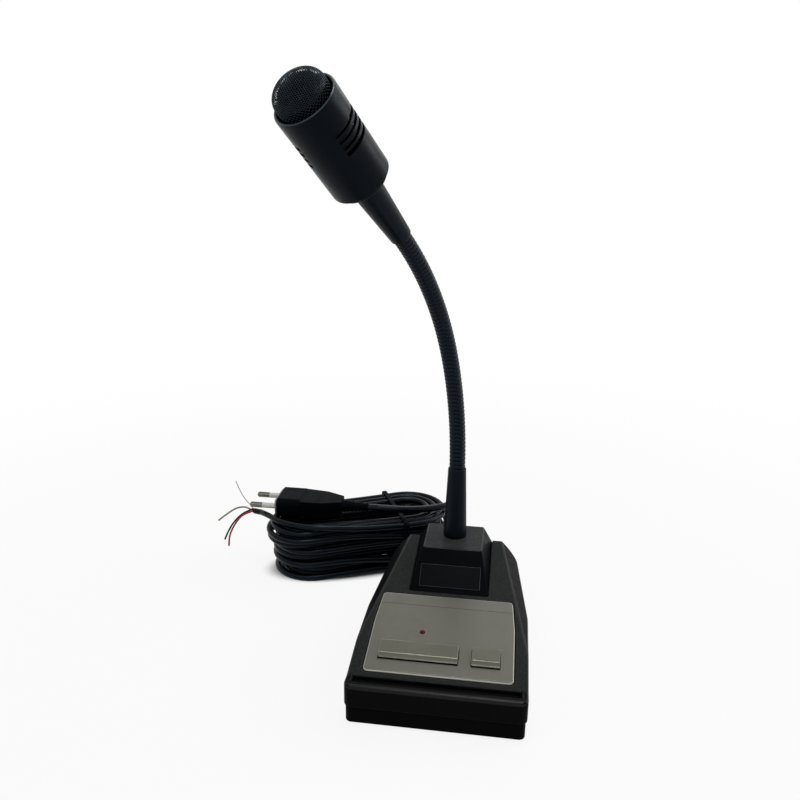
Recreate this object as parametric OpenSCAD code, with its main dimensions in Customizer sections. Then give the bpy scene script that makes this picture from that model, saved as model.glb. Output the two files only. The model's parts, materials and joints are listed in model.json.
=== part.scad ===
// Desk paging microphone: a sloped case with two keys, a ribbed flexible neck, a slotted head and two cords.
// Millimetres. +Z is up, +Y is to the rear, and the origin is on the desk under the middle of the case.

/* [Case] */
// Width of the upper case at its front
case_w = 96; // [94:1:104]
// Length of the case from front to rear
case_l = 139; // [137:1:150]
// Height of the rubber feet below the lower case
foot_h = 1.5; // [1:0.1:2.5]
// Height of the lower case's wall
lower_h = 9.8; // [9:0.2:12]
// Step from the upper case's wall in to the lower case's wall
lower_inset = 0.8; // [0.5:0.1:1.2]
// Height of the upper case's front wall
front_h = 13.3; // [12.5:0.1:16]
// Wall thickness of both cases
wall = 2.2; // [2:0.1:2.6]
// Radius of the front corners
corner_r = 4; // [3.2:0.2:6]
// Radius of the rear corners
rear_r = 8; // [5:0.5:11]
// Distance from the front at which the sides start to taper
taper_from = 75; // [65:1:85]
// Width of the upper case at its rear
rear_w = 81; // [77:1:86]
// Height of the tongue on the lower case that locates the upper one
tongue_h = 2; // [1.2:0.2:3]
// Clearance round the tongue
tongue_gap = 0.2; // [0.1:0.05:0.4]

/* [Deck] */
// Slope of the deck
deck_angle = 9.1; // [7:0.1:11]
// Drop from the front rail to the deck's front edge
deck_drop = 0.5; // [0:0.1:1]
// Depth of the front rail
rail_d = 4; // [3.5:0.5:7]
// Width of the groove behind the front rail
groove_w = 6; // [4:0.5:6.5]
// Depth of that groove
groove_depth = 3.2; // [2:0.1:4]
// Width of the side rails beside the groove
side_rail = 3.6; // [3:0.1:5]
// Chamfer of the front wall's top edge
lip = 1.2; // [0.6:0.1:2]
// Distance from the front at which the side shoulders start
shoulder_from = 35; // [25:1:45]
// Width of the deck at the rear, between the shoulders
deck_rear_w = 61; // [59:1:66]
// Tilt of the shoulders from level
shoulder_tilt = 47; // [38:1:55]

/* [Fascia] */
// Width of the fascia panel
panel_w = 80.6; // [79:0.2:83]
// Width of the panel at its rear edge
panel_rear_w = 77.4; // [74:0.2:80]
// Length of the panel along the deck
panel_l = 64.3; // [62:0.1:67]
// Length of the panel's parallel part
panel_parallel = 40; // [36:0.5:44]
// Distance from the deck's front edge to the panel
panel_from = 4.2; // [3.4:0.1:5]
// Thickness of the panel
panel_t = 1.4; // [1.2:0.1:1.6]
// Depth of the recess that the panel lies in
panel_recess = 0.8; // [0.5:0.1:1]
// Radius of the panel's corners
panel_r = 2.4; // [1:0.2:4]
// Width of the bevel along the panel's front edge
panel_bevel = 1.4; // [0.8:0.1:2]
// Clearance round the panel
panel_gap = 0.25; // [0.1:0.05:0.4]

/* [Keys] */
// Width of the wide key
chime_key_w = 43.4; // [40:0.2:45]
// Place of the wide key's middle, to the right of the case's middle
chime_key_x = -11.8; // [-12.4:0.1:-11]
// Width of the narrow key
talk_key_w = 15.3; // [14:0.1:17]
// Place of the narrow key's middle
talk_key_x = 25; // [24.4:0.1:26.5]
// Depth of both keys along the deck
key_d = 12.6; // [11.8:0.2:14]
// Distance from the deck's front edge to the keys
key_from = 13.6; // [13:0.1:14.6]
// Height of the keys above the panel
key_proud = 2.6; // [2.4:0.1:3.4]
// Travel of the keys
key_travel = 2.4; // [1.6:0.1:2.6]
// Clearance round the keys in their windows
key_gap = 0.35; // [0.25:0.05:0.5]
// Width of the flange that holds a key in
key_flange = 1; // [0.8:0.1:1.3]
// Thickness of that flange
key_flange_t = 1.2; // [1:0.1:1.6]
// Gap under the deck over the flange
key_stop_gap = 0.3; // [0.2:0.05:0.5]
// Radius of the dish in the key tops
key_dish_r = 60; // [50:5:160]
// Depth of the dish at the middle of a key
key_dish = 0.15; // [0.1:0.05:0.3]
// Tilt of the dish, which fades towards the front
key_dish_tilt = 3; // [2:0.5:5]

/* [Pedestal] */
// Width of the pedestal's foot
ped_foot_w = 48; // [46:0.5:49]
// Length of the foot along the deck
ped_foot_l = 59; // [57:0.5:61]
// Width of the pedestal's top
ped_top_w = 36.5; // [34:0.5:40]
// Length of the top
ped_top_l = 34.2; // [32:0.2:37]
// Rise of the top above the deck's rear edge
ped_rise = 9.4; // [8.5:0.1:12]
// How far the foot reaches behind the case
ped_over = 1; // [0.4:0.1:2]
// How far the top ends ahead of the foot's rear
ped_back = 1.6; // [0.8:0.1:2.4]
// Depth of the pocket that the foot stands in
ped_pocket = 1.4; // [1:0.1:1.6]
// Width of the groove round the foot
ped_gap = 0.3; // [0.2:0.1:0.8]
// Radius of the pedestal's upright corners
ped_round = 1.6; // [0.8:0.1:1.8]
// Thickness of the pedestal's walls
ped_wall = 2.6; // [2.4:0.1:3]
// Width of the bare name plate
plate_w = 37; // [34:0.5:38]
// Height of the plate up the slanted face
plate_h = 14.6; // [12:0.2:16]
// Distance of the plate from the foot, up the slanted face
plate_from = 3.6; // [3:0.1:5]
// Thickness of the plate
plate_t = 0.6; // [0.4:0.1:0.8]
// Depth of the plate's face below the slanted face
plate_sunk = 0.5; // [0.3:0.1:0.7]

/* [Neck] */
// Distance of the neck ahead of the case's rear wall
neck_from_rear = 15.2; // [14:0.2:17]
// Length of the base sleeve
sleeve_l = 46.6; // [40:0.2:54]
// Diameter of the base sleeve at its foot
sleeve_foot_d = 14.8; // [14.4:0.1:17]
// Diameter of the base sleeve at its top
sleeve_top_d = 11.4; // [11:0.1:13]
// Outer diameter of the ribbed hose
hose_d = 9.6; // [9.2:0.1:9.8]
// Depth of the valleys between the ribs
rib_depth = 0.7; // [0.4:0.1:1]
// Bore of the hose
hose_bore = 5.6; // [4:0.1:6]
// Ribs on each of the hose's four parts
ribs_per_part = 18; // [12:1:24]
// Depth of the hose in the sleeve at either end
hose_seat = 12; // [8:0.5:16]
// Length of the neck's lower arc
lower_arc_l = 75; // [50:1:90]
// Lean of the neck at the end of the lower arc
lower_lean = 18.6; // [8:0.2:26]
// Length of the neck's upper arc
upper_arc_l = 89.5; // [80:0.5:120]
// Lean of the head
head_lean = 47.8; // [38:0.2:60]
// Turn of the bend to the left of straight ahead
bend_turn = 30; // [0:1:40]
// Clearance round the hose and its ferrule
neck_gap = 0.1; // [0.05:0.05:0.2]

/* [Head] */
// Diameter of the head's barrel
head_d = 31.4; // [30:0.2:35]
// Length of the barrel
head_l = 51.5; // [48:0.5:58]
// Wall of the barrel
head_wall = 1.6; // [1.3:0.1:1.9]
// Length of the tapered head sleeve
cone_l = 40; // [36:0.5:48]
// Diameter of the head sleeve where the neck enters it
cone_small_d = 11.8; // [11.6:0.1:13]
// Diameter of the head sleeve at the head
cone_large_d = 16.2; // [15:0.1:18]
// Diameter of the collar behind the barrel
collar_d = 26.8; // [24:0.2:28]
// Thickness of the collar
collar_t = 2.3; // [2:0.1:7]
// Radius of the domed grille
grille_r = 13; // [12:0.1:13.5]
// Height of the dome's straight side above the barrel's rim
grille_lift = 3; // [-3.5:0.1:4]
// Height of the dome above its straight side
grille_rise = 9.6; // [7:0.1:13]
// Thickness of the grille
grille_t = 0.8; // [0.6:0.1:1]
// Diameter of the grille's holes
grille_hole = 1.5; // [1:0.1:1.6]
// Rings of holes in the dome
grille_rings = 6; // [4:1:6]
// Slots in each of the barrel's two groups
slot_count = 4; // [3:1:5]
// Width of a slot
slot_w = 2; // [1.2:0.1:2.2]
// Distance from slot to slot
slot_pitch = 3.6; // [3.2:0.1:4.6]
// Distance of the first slot from the rim
slot_from = 14.8; // [14:0.2:20]
// Turn that a slot covers
slot_turn = 108; // [80:2:120]
// Turn of the slot groups about the head's axis
slot_place = 23; // [0:1:45]

/* [Inside] */
// Height of the switches on the circuit board
switch_h = 6; // [5:0.2:6.6]
// Distance of the circuit board below the deck
board_drop = 13; // [12.6:0.1:13.6]
// Thickness of the circuit board
board_t = 1.6; // [1:0.1:2]
// Diameter of the indicator lamp
led_d = 3; // [2.6:0.2:4]
// Width of the transformer's core
core_w = 34; // [30:1:38]
// Height of the transformer's core
core_h = 28; // [24:0.5:29]
// Thickness of the transformer's stack
core_stack = 14; // [11:0.5:16]

/* [Cords] */
// Diameter of the mains cord
mains_d = 4.6; // [4:0.1:4.8]
// Diameter of the signal cord
signal_d = 3.8; // [3.2:0.1:4]
// Loops in each of the mains hank's layers
mains_loops = 2; // [1:1:2]
// Loops in each of the signal hank's layers
signal_loops = 3; // [2:1:3]
// Gap between layers of a hank
layer_gap = 0.5; // [0.45:0.05:0.8]
// Length of a strain relief's tail behind the case
relief_l = 16; // [14:0.5:18]
// Height of the cords' way out above the desk
relief_z = 20; // [19:0.5:23]
// Length of the plug's pins
pin_l = 19; // [18:0.5:20]
// Distance between the plug's pins
pin_pitch = 18; // [16:0.5:19]

/* [Hidden] */
$fn = 64;

// Levels and places of the case
front_y = -case_l / 2;
rear_y = case_l / 2;
floor_z = foot_h + wall;
split_z = foot_h + lower_h;
rail_z = split_z + front_h;
deck_y = front_y + rail_d + groove_w;
far = 300;
eps = 0.01;
function deck_z(y) = rail_z - deck_drop + (y - deck_y) * tan(deck_angle);
deck_wall = wall / cos(deck_angle);
tongue_t = 1.4;

// Screws: places in the case, and the sizes of one screw
screw_end = 12;
screw_side = 12;
screw_rear_side = 10.5;
screw_places = [for (s = [-1, 1]) each [[s * (case_w / 2 - screw_side), front_y + screw_end],
    [s * (rear_w / 2 - screw_rear_side), rear_y - screw_end]]];
screw_head_d = 5.6;
screw_head_t = 2;
screw_clear = 0.2;
pilot_d = 2.4;
boss_d = 7;
screw_bite = 8;
foot_d = 10;
foot_sunk = 0.7;
foot_end = 24;
foot_side = 16;
foot_rear_side = 12.5;
foot_places = [for (s = [-1, 1]) each [[s * (case_w / 2 - foot_side), front_y + foot_end],
    [s * (rear_w / 2 - foot_rear_side), rear_y - foot_end]]];

// Places along the deck, from its front edge
key_mid = key_from + key_d / 2;
led_x = -11.6;
led_from = 36.7;
led_out = 0.9;
board_from = 10;
board_l = 43;
board_side = 6;
board_w = case_w - 2 * board_side;
board_screw_in = 3.6;
board_screw_x = board_w / 2 - board_screw_in;
board_screw_places = [for (s = [-1, 1]) for (v = [board_screw_in, board_l - board_screw_in])
    [s * board_screw_x, board_from + v]];
board_boss_d = 6;
board_rear = board_from + board_l;
chip_place = [board_w / 2 - 22, board_rear - 11];
can_d = 6.3;
can_h = 8;
can_places = [[12 - board_w / 2, board_rear - 11], [21 - board_w / 2, board_rear - 9], [0, board_rear - 9]];
key_floor = panel_t - panel_recess;
key_foot = wall + key_stop_gap;
plunger_d = 3.4;
plunger_gap = 0.06;
plunger_in = 2.4;
switch_w = 12;
switch_top = board_drop - switch_h;

// The pedestal stands on a tilted foot and has a level top
ped_from = (rear_y + ped_over - deck_y) / cos(deck_angle) - ped_foot_l;
ped_top_z = deck_z(rear_y) + ped_rise;
ped_top_y = rear_y + ped_over - ped_back - ped_top_l;
ped_foot_y = deck_y + ped_from * cos(deck_angle);
ped_face_angle = atan2(ped_top_z - deck_z(ped_foot_y), ped_top_y - ped_foot_y);
ped_screw_x = 17;
ped_screw_in = 12;
ped_screw_places = [for (s = [-1, 1]) for (v = [ped_screw_in, ped_foot_l - ped_screw_in])
    [s * ped_screw_x, ped_from + v]];
ped_screw_head_d = boss_d - 1.4;
ped_post_d = 6.4;
ped_hole_d = 30;
plate_gap = 0.15;

// The neck's curve lies in one upright plane through the base sleeve
neck_y = rear_y - neck_from_rear;
sleeve_top_z = ped_top_z + sleeve_l;
neck_l = lower_arc_l + upper_arc_l;
part_l = (neck_l + 2 * hose_seat) / 4;
part_ends = [for (i = [0:4]) -hose_seat + part_l * i];
part_gap = 0.06;
bend_side = [cos(bend_turn), -sin(bend_turn), 0];
lower_r = lower_arc_l / (lower_lean * PI / 180);
upper_r = upper_arc_l / ((head_lean - lower_lean) * PI / 180);
lower_end = [lower_r * (1 - cos(lower_lean)), lower_r * sin(lower_lean)];
upper_end = lower_end + upper_r * [cos(lower_lean) - cos(head_lean), sin(head_lean) - sin(lower_lean)];
function lean_at(u) = u < lower_arc_l ? lower_lean * max(u, 0) / lower_arc_l
    : lower_lean + (head_lean - lower_lean) * min(u - lower_arc_l, upper_arc_l) / upper_arc_l;
function in_plane(u) = u < 0 ? [0, u]
    : u < lower_arc_l ? lower_r * [1 - cos(lean_at(u)), sin(lean_at(u))]
    : u < neck_l ? lower_end
        + upper_r * [cos(lower_lean) - cos(lean_at(u)), sin(lean_at(u)) - sin(lower_lean)]
    : upper_end + (u - neck_l) * [sin(head_lean), cos(head_lean)];
function in_space(q) = [-sin(bend_turn) * q[0], neck_y - cos(bend_turn) * q[0], sleeve_top_z + q[1]];
function neck_point(u) = in_space(in_plane(u));
neck_end = neck_point(neck_l);
ferrule_below = 9;
ferrule_flange_d = sleeve_foot_d - 2.2;
ferrule_flange_t = 1.6;
nut_d = 16;
nut_t = 4;

// Levels along the head's axis, from the end of the neck
collar_z = cone_l;
barrel_z = cone_l + collar_t;
rim_z = barrel_z + head_l;
barrel_floor = 2.4;
barrel_slope = 1.6;
spigot_d = 9;
spigot_l = collar_t + barrel_floor + 3;
head_bore = head_d - 2 * head_wall;
seat_drop = 6;
seat_t = 1.4;
capsule_d = 24;
capsule_l = 24;
capsule_ring_t = 4;
slip = 0.05;

// Cords: the way out of the case, and the hanks on the desk behind it
mains_out_x = 12;
signal_out_x = 26;
relief_hole_d = 7.8;
relief_flange_d = 10;
relief_tip_d = 6.4;
hank_x = -72;
hank_y = 113;
hank_angle = 25;
hank_run = 38;
hank_r = 28.5;
hank_pinch = 0.1;
hank_lift = 1.2;
hank_layers = 4;
hank_lean = 0.27;
hank_ragged = 3;
hank_wave = 13;
mains_step = mains_d + 2.3;
signal_step = signal_d + 1.9;
loop_rings = 24;
mains_turns = mains_loops * hank_layers - 0.25;
signal_turns = signal_loops * hank_layers;
mains_rise = mains_d + layer_gap;
signal_rise = signal_d + layer_gap;
mains_z = hank_lift + mains_d / 2;
mains_top = hank_lift + hank_layers * mains_rise - layer_gap;
signal_z = mains_top + layer_gap + 0.1 + signal_d / 2;
hank_top = signal_z - signal_d / 2 + hank_layers * signal_rise - layer_gap;
tie_place = 25;
tie_w = 3;
tie_t = 0.8;
tie_gap = 0.3;

// The plug lies on the hank, with its pins to the left
plug_h = 13.7;
plug_w = 27;
plug_r = 4;
plug_l = 46;
plug_relief_l = 19;
plug_tip_d = 6.6;
plug_at = [-131, 105, hank_top + 0.3 + plug_h / 2];
pin_d = 4;
pin_core_d = 2.6;
pin_sleeve_l = 10;
pin_root = 6;
face_t = 2.5;
face_proud = 1.4;
face_edge = 1;
face_fit = 0.1;

// Free stretches of the cords, as points chosen along the way
mains_lead_route = [[10.8, 101, 18.6], [7, 106.7, 14.5], [1.4, 110.5, 9.4], [-5.6, 111.7, 5.1]];
signal_lead_route = [[25.6, 97.5, 20.4], [21.5, 105.5, 21.2], [13, 111.5, 22.2], [1, 113.3, 23], [-10, 111.2, 23.5]];
mains_tail_route = [[-29, 160, 20], [-16, 160, 25], [-5, 153, 31], [-2, 141, 37], [-8, 130, 41],
    [-22, 118, 42.2], [-39, 108.8, 44]];
signal_tail_route = [[-45, 95.2, 36.5], [-68, 84.4, 38.2], [-90, 76, 40.8], [-108, 74.5, 41.2], [-124, 80, 41],
    [-136, 90, 40.4]];
signal_end = [-150, 101, 38];
signal_way = unit([-6, 3.4, -0.8]);
red_route = [[-159.5, 99, 34], [-163, 92, 29.5], [-164.5, 86, 24], [-164, 82, 18]];
black_route = [[-160, 101, 34.5], [-165, 97, 29.5], [-168, 93, 24], [-170, 90, 18.5]];
white_route = [[-159, 106, 38], [-166, 106, 36.5], [-172, 103, 33], [-178, 100, 28.5]];
screen_route = [[-156, 108, 39.5], [-161, 111, 43], [-165, 113, 48], [-168, 113.5, 55]];
conductor_d = 1.3;
strand_d = 0.6;

// Colours
case_black = [0.09, 0.09, 0.1];
deep_black = [0.05, 0.05, 0.055];
satin_silver = [0.62, 0.6, 0.55];
steel = [0.72, 0.72, 0.72];
cord_black = [0.07, 0.07, 0.08];

// Points and outlines
function unit(v) = v / norm(v);

// Arc of radius r in the corner b between a and c
function corner_arc(a, b, c, r, n) = let (
    u = unit(a - b), w = unit(c - b), half = acos(u * w) / 2,
    middle = b + unit(u + w) * r / sin(half),
    from = b + u * r / tan(half) - middle,
    turn = sign((b - a)[0] * (c - b)[1] - (b - a)[1] * (c - b)[0]) * (180 - 2 * half),
    start = atan2(from[1], from[0])
) [for (i = [0:n]) middle + r * [cos(start + turn * i / n), sin(start + turn * i / n)]];

// Outline p with each corner rounded to its own radius
function rounded(p, radii, n = 6) = let (m = len(p)) [for (i = [0:m - 1])
    each corner_arc(p[(i + m - 1) % m], p[i], p[(i + 1) % m], radii[i], n)];

function rounded_box(w, h, r) = rounded([[-w / 2, -h / 2], [w / 2, -h / 2], [w / 2, h / 2], [-w / 2, h / 2]],
    [r, r, r, r]);

// Plan of the case, moved in by inset
function case_outline(inset) = let (
    w = case_w / 2 - inset, v = rear_w / 2 - inset, f = front_y + inset, b = rear_y - inset,
    t = front_y + taper_from, cr = max(corner_r - inset, 0.6), rr = max(rear_r - inset, 0.6)
) rounded([[-w, f], [w, f], [w, t], [v, b], [-v, b], [-w, t]], [cr, cr, 20, rr, rr, 20]);

// Smooth curve through the points p, with n steps from each to the next
function between(a, b, c, d, t) = 0.5 * (2 * b + (c - a) * t + (2 * a - 5 * b + 4 * c - d) * t * t
    + (3 * b - a - 3 * c + d) * t * t * t);
function smooth(p, n) = let (m = len(p) - 1) concat([for (i = [0:m - 1]) for (j = [0:n - 1])
    between(p[max(i - 1, 0)], p[i], p[i + 1], p[min(i + 2, m)], j / n)], [p[m]]);

// Rings of points round a path, and the triangles between them
function tangent(p, i) = unit(p[min(i + 1, len(p) - 1)] - p[max(i - 1, 0)]);
function ring(c, t, side, r, n) = let (a = unit(cross(t, side)), b = cross(a, t))
    [for (k = [0:n - 1]) c + r * (cos(360 * k / n) * a + sin(360 * k / n) * b)];
function rings(p, radii, side, n) = [for (i = [0:len(p) - 1])
    each ring(p[i], tangent(p, i), side, radii[i], n)];
function skin(first, count, n, out) = [for (i = [0:count - 2]) for (k = [0:n - 1]) let (
    a = first + i * n + k, b = first + i * n + (k + 1) % n, c = b + n, d = a + n)
    each (out ? [[a, b, c], [a, c, d]] : [[a, c, b], [a, d, c]])];

// Least gap from the tube of diameter d on the points p to itself
function to_segment(p, a, b) = let (ab = b - a, s = max(0, min(1, ((p - a) * ab) / (ab * ab))))
    norm(p - a - s * ab);
function self_gap(p, d) = min([for (i = [0:len(p) - 8]) for (j = [i + 6:len(p) - 2])
    to_segment(p[i], p[j], p[j + 1])]) - d;

// Place on a hank after t turns: runs joined by half rounds, in and out, a layer higher at each reversal
function eased(x) = x * x * (3 - 2 * x);
function hank_place(t, step, loops, z, rise) = let (
    layer = min(floor(t / loops), hank_layers - 1),
    turned = t - layer * loops,
    r = hank_r - step * (layer % 2 == 0 ? turned : loops - turned),
    quarter = 4 * (t - floor(t)),
    along = quarter - floor(quarter),
    flat = quarter < 1 ? [hank_run * (1 - 2 * along), -r]
        : quarter < 2 ? [-hank_run - r * sin(180 * along), -r * cos(180 * along)]
        : quarter < 3 ? [hank_run * (2 * along - 1), r]
        : [hank_run + r * sin(180 * along), r * cos(180 * along)],
    waist = 1 - hank_pinch * pow(cos(90 * flat[0] / (hank_run + hank_r)), 2),
    climbed = layer == 0 ? 0 : turned < 0.25 ? layer - 1 + eased(4 * turned) : layer,
    height = z + climbed * rise,
    leftward = max(0, -flat[0]) / (hank_run + hank_r),
    x = flat[0] - hank_lean * (height - hank_top / 2) - hank_ragged * leftward * sin(360 * height / hank_wave),
    y = flat[1] * waist
) [hank_x + x * cos(hank_angle) - y * sin(hank_angle),
    hank_y + x * sin(hank_angle) + y * cos(hank_angle), height];
function hank_path(turns, step, loops, z, rise) = [for (i = [0:turns * loop_rings])
    hank_place(i / loop_rings, step, loops, z, rise)];
function mains_hank_path() = hank_path(mains_turns, mains_step, mains_loops, mains_z, mains_rise);
function signal_hank_path() = hank_path(signal_turns, signal_step, signal_loops, signal_z, signal_rise);

// A free stretch runs straight for one diameter where it leaves something and where it meets something
function straight_start(p, way, d) = [p, p + unit(way) * d, p + unit(way) * 2 * d];
function straight_end(p, way, d) = [p - unit(way) * 2 * d, p - unit(way) * d, p];

// Shapes used more than once
module on_deck() {
    translate([0, deck_y, deck_z(deck_y)]) rotate([deck_angle, 0, 0]) children();
}
module along_x(length) {
    translate([-length / 2, 0, 0]) rotate([90, 0, 90]) linear_extrude(length) children();
}
module along_y(at) {
    translate(at) rotate([-90, 0, 0]) children();
}
module in_head() {
    translate(neck_end) rotate([0, 0, -bend_turn]) rotate([head_lean, 0, 0]) children();
}
module both_sides() {
    for (s = [0, 1]) mirror([s, 0, 0]) children();
}
module tube(p, d, sides, side = [0, 0, 1]) {
    n = len(p);
    last = (n - 1) * sides;
    near_cap = [for (k = [1:sides - 2]) [0, k + 1, k]];
    far_cap = [for (k = [1:sides - 2]) [last, last + k, last + k + 1]];
    points = rings(p, [for (q = p) d / 2], side, sides);
    polyhedron(points, concat(skin(0, n, sides, true), near_cap, far_cap));
}
module ribbed_tube(outer, radii, inner, bore, side, sides) {
    n = len(outer);
    m = len(inner);
    far_out = (n - 1) * sides;
    first_in = n * sides;
    far_in = first_in + (m - 1) * sides;
    near_cap = [for (k = [0:sides - 1]) let (j = (k + 1) % sides)
        each [[j, k, first_in + k], [j, first_in + k, first_in + j]]];
    far_cap = [for (k = [0:sides - 1]) let (j = (k + 1) % sides)
        each [[far_out + k, far_out + j, far_in + j], [far_out + k, far_in + j, far_in + k]]];
    points = concat(rings(outer, radii, side, sides), rings(inner, [for (q = inner) bore / 2], side, sides));
    polyhedron(points, concat(skin(0, n, sides, true), skin(first_in, m, sides, false), near_cap, far_cap));
}
module screw(length, head_d = screw_head_d) {
    cylinder(d = head_d, h = screw_head_t);
    cylinder(d = pilot_d, h = screw_head_t + length);
}

// Upper case
function upper_profile() = [[front_y, split_z], [rear_y, split_z], [rear_y, deck_z(rear_y)],
    [deck_y, deck_z(deck_y)], [deck_y - groove_w, rail_z], [front_y + lip, rail_z], [front_y, rail_z - lip]];
function cavity_profile() = let (
    f = front_y + wall, b = rear_y - wall, step = deck_y + wall, groove_floor = rail_z - groove_depth - wall
) [[f, split_z - 1], [b, split_z - 1], [b, deck_z(b) - deck_wall], [step, deck_z(step) - deck_wall],
    [step, groove_floor], [f, groove_floor]];
module shoulder_cut(inset) {
    start = [case_w / 2, front_y + shoulder_from];
    reach = [deck_rear_w / 2 - start[0], rear_y - start[1]];
    both_sides() translate([start[0], start[1], deck_z(start[1])])
        rotate([0, 0, atan2(-reach[0], reach[1])])
        rotate([atan2(deck_z(rear_y) - deck_z(start[1]), norm(reach)), 0, 0])
        rotate([0, shoulder_tilt, 0])
        translate([-far / 4, -far / 2, -inset]) cube([far, far, far / 2]);
}
module upper_form(inset, profile, low) {
    difference() {
        intersection() {
            translate([0, 0, low]) linear_extrude(far) polygon(case_outline(inset));
            along_x(case_w) polygon(profile);
        }
        shoulder_cut(inset);
    }
}
module key_window(w, gap) {
    translate([-w / 2 - gap, key_from - gap, -far / 2]) cube([w + 2 * gap, key_d + 2 * gap, far]);
}
module top_cover_stock() {
    difference() {
        upper_form(0, upper_profile(), split_z);
        upper_form(wall, cavity_profile(), split_z - 1);
    }
    intersection() {
        upper_form(wall / 2, upper_profile(), split_z);
        union() {
            for (p = screw_places) translate([p[0], p[1], split_z]) cylinder(d = boss_d, h = far);
            on_deck() {
                for (p = board_screw_places) translate([p[0], p[1], -board_drop])
                    cylinder(d = board_boss_d, h = board_drop - panel_recess - 0.4);
                translate([-ped_foot_w / 2 - 3, ped_from - 3, -ped_pocket - wall])
                    cube([ped_foot_w + 6, ped_foot_l + 6, wall]);
            }
        }
    }
}
module top_cover() {
    color(case_black) difference() {
        top_cover_stock();
        translate([-case_w / 2 + side_rail, deck_y - groove_w, rail_z - groove_depth])
            cube([case_w - 2 * side_rail, groove_w, far]);
        on_deck() {
            translate([0, panel_from, -panel_recess]) linear_extrude(far) polygon(panel_outline(panel_gap));
            translate([chime_key_x, 0, 0]) key_window(chime_key_w, key_gap);
            translate([talk_key_x, 0, 0]) key_window(talk_key_w, key_gap);
            translate([led_x, led_from, -far / 2]) cylinder(d = led_d + 0.4, h = far);
            for (p = board_screw_places) translate([p[0], p[1], -board_drop - 1])
                cylinder(d = pilot_d, h = screw_bite + 1);
            translate([0, ped_from, -ped_pocket]) linear_extrude(far)
                polygon(block_outline(ped_foot_w, far, -ped_gap));
            for (p = ped_screw_places) translate([p[0], p[1], -ped_pocket - wall - 1])
                cylinder(d = pilot_d + screw_clear, h = wall + 2);
        }
        translate([0, neck_y, floor_z]) cylinder(d = ped_hole_d, h = far);
        for (p = screw_places) translate([p[0], p[1], split_z - 1]) cylinder(d = pilot_d, h = screw_bite + 1);
        for (x = [mains_out_x, signal_out_x]) along_y([x, rear_y - wall - 1, relief_z])
            cylinder(d = relief_hole_d, h = wall + 2);
    }
}

// Lower case
module bottom_cover() {
    color(case_black) difference() {
        union() {
            difference() {
                translate([0, 0, foot_h]) linear_extrude(lower_h) polygon(case_outline(lower_inset));
                translate([0, 0, floor_z]) linear_extrude(far) polygon(case_outline(lower_inset + wall));
            }
            translate([0, 0, floor_z]) linear_extrude(split_z + tongue_h - floor_z) difference() {
                polygon(case_outline(wall + tongue_gap));
                polygon(case_outline(wall + tongue_gap + tongue_t));
            }
            for (p = screw_places) translate([p[0], p[1], foot_h]) cylinder(d = boss_d, h = lower_h);
        }
        for (p = screw_places) translate([p[0], p[1], 0]) {
            cylinder(d = pilot_d + screw_clear, h = far);
            cylinder(d = screw_head_d + 2 * screw_clear, h = foot_h + screw_head_t + 1);
        }
        for (p = foot_places) translate([p[0], p[1], 0])
            cylinder(d = foot_d + screw_clear, h = foot_h + foot_sunk);
    }
}
module rubber_feet() {
    color(deep_black) for (p = foot_places) translate([p[0], p[1], 0]) {
        cylinder(d1 = foot_d - 1, d2 = foot_d, h = foot_h);
        translate([0, 0, foot_h]) cylinder(d = foot_d, h = foot_sunk);
    }
}
module cover_screws() {
    color(steel) for (p = screw_places) translate([p[0], p[1], foot_h + 1])
        screw(split_z - foot_h - 1 - screw_head_t + screw_bite - 1);
}

// Fascia panel: parallel at the front, then tapering, with a bevel along the front edge
function panel_outline(gap) = let (a = panel_w / 2 + gap, b = panel_rear_w / 2 + gap, r = panel_r + gap)
    rounded([[-a, -gap], [a, -gap], [a, panel_parallel], [b, panel_l + gap], [-b, panel_l + gap],
        [-a, panel_parallel]], [r, r, 8, r, r, 8]);
module fascia_panel() {
    bevel_angle = 22;
    color(satin_silver) on_deck() translate([0, panel_from, -panel_recess]) difference() {
        linear_extrude(panel_t) polygon(panel_outline(0));
        translate([-far / 2, panel_bevel, panel_t]) rotate([bevel_angle, 0, 0]) translate([0, -far, 0])
            cube([far, far, far / 2]);
        translate([chime_key_x, -panel_from, 0]) key_window(chime_key_w, key_gap);
        translate([talk_key_x, -panel_from, 0]) key_window(talk_key_w, key_gap);
        translate([led_x, led_from - panel_from, -1]) cylinder(d = led_d + 0.2, h = panel_t + 2);
    }
}

// Keys: a stepped front, a dished top and a flange under the deck
module key(w) {
    top = key_floor + key_proud;
    profile = [[0, -key_foot], [key_d, -key_foot], [key_d, top - 0.5], [key_d - 0.5, top], [2.6, top - 0.2],
        [1.3, key_floor + 1.2], [0.5, key_floor + 0.9], [0, key_floor + 0.9]];
    difference() {
        translate([0, key_from, 0]) along_x(w) polygon(profile);
        translate([0, key_mid, top + key_dish_r - key_dish]) rotate([90 - key_dish_tilt, 0, 0])
            cylinder(r = key_dish_r, h = far, center = true, $fn = 128);
    }
    translate([-w / 2 - key_flange, key_from - key_flange, -key_foot - key_flange_t])
        cube([w + 2 * key_flange, key_d + 2 * key_flange, key_flange_t]);
}
module chime_key() {
    color(satin_silver) on_deck() translate([chime_key_x, 0, 0]) key(chime_key_w);
}
module talk_key() {
    color(satin_silver) on_deck() translate([talk_key_x, 0, 0]) key(talk_key_w);
}
module plunger(x) {
    top = key_foot + key_flange_t;
    color("ivory") on_deck() translate([x, key_mid, -switch_top - plunger_in])
        cylinder(d = plunger_d, h = switch_top + plunger_in - top);
}
module chime_plunger() {
    plunger(chime_key_x);
}
module talk_plunger() {
    plunger(talk_key_x);
}
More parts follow.
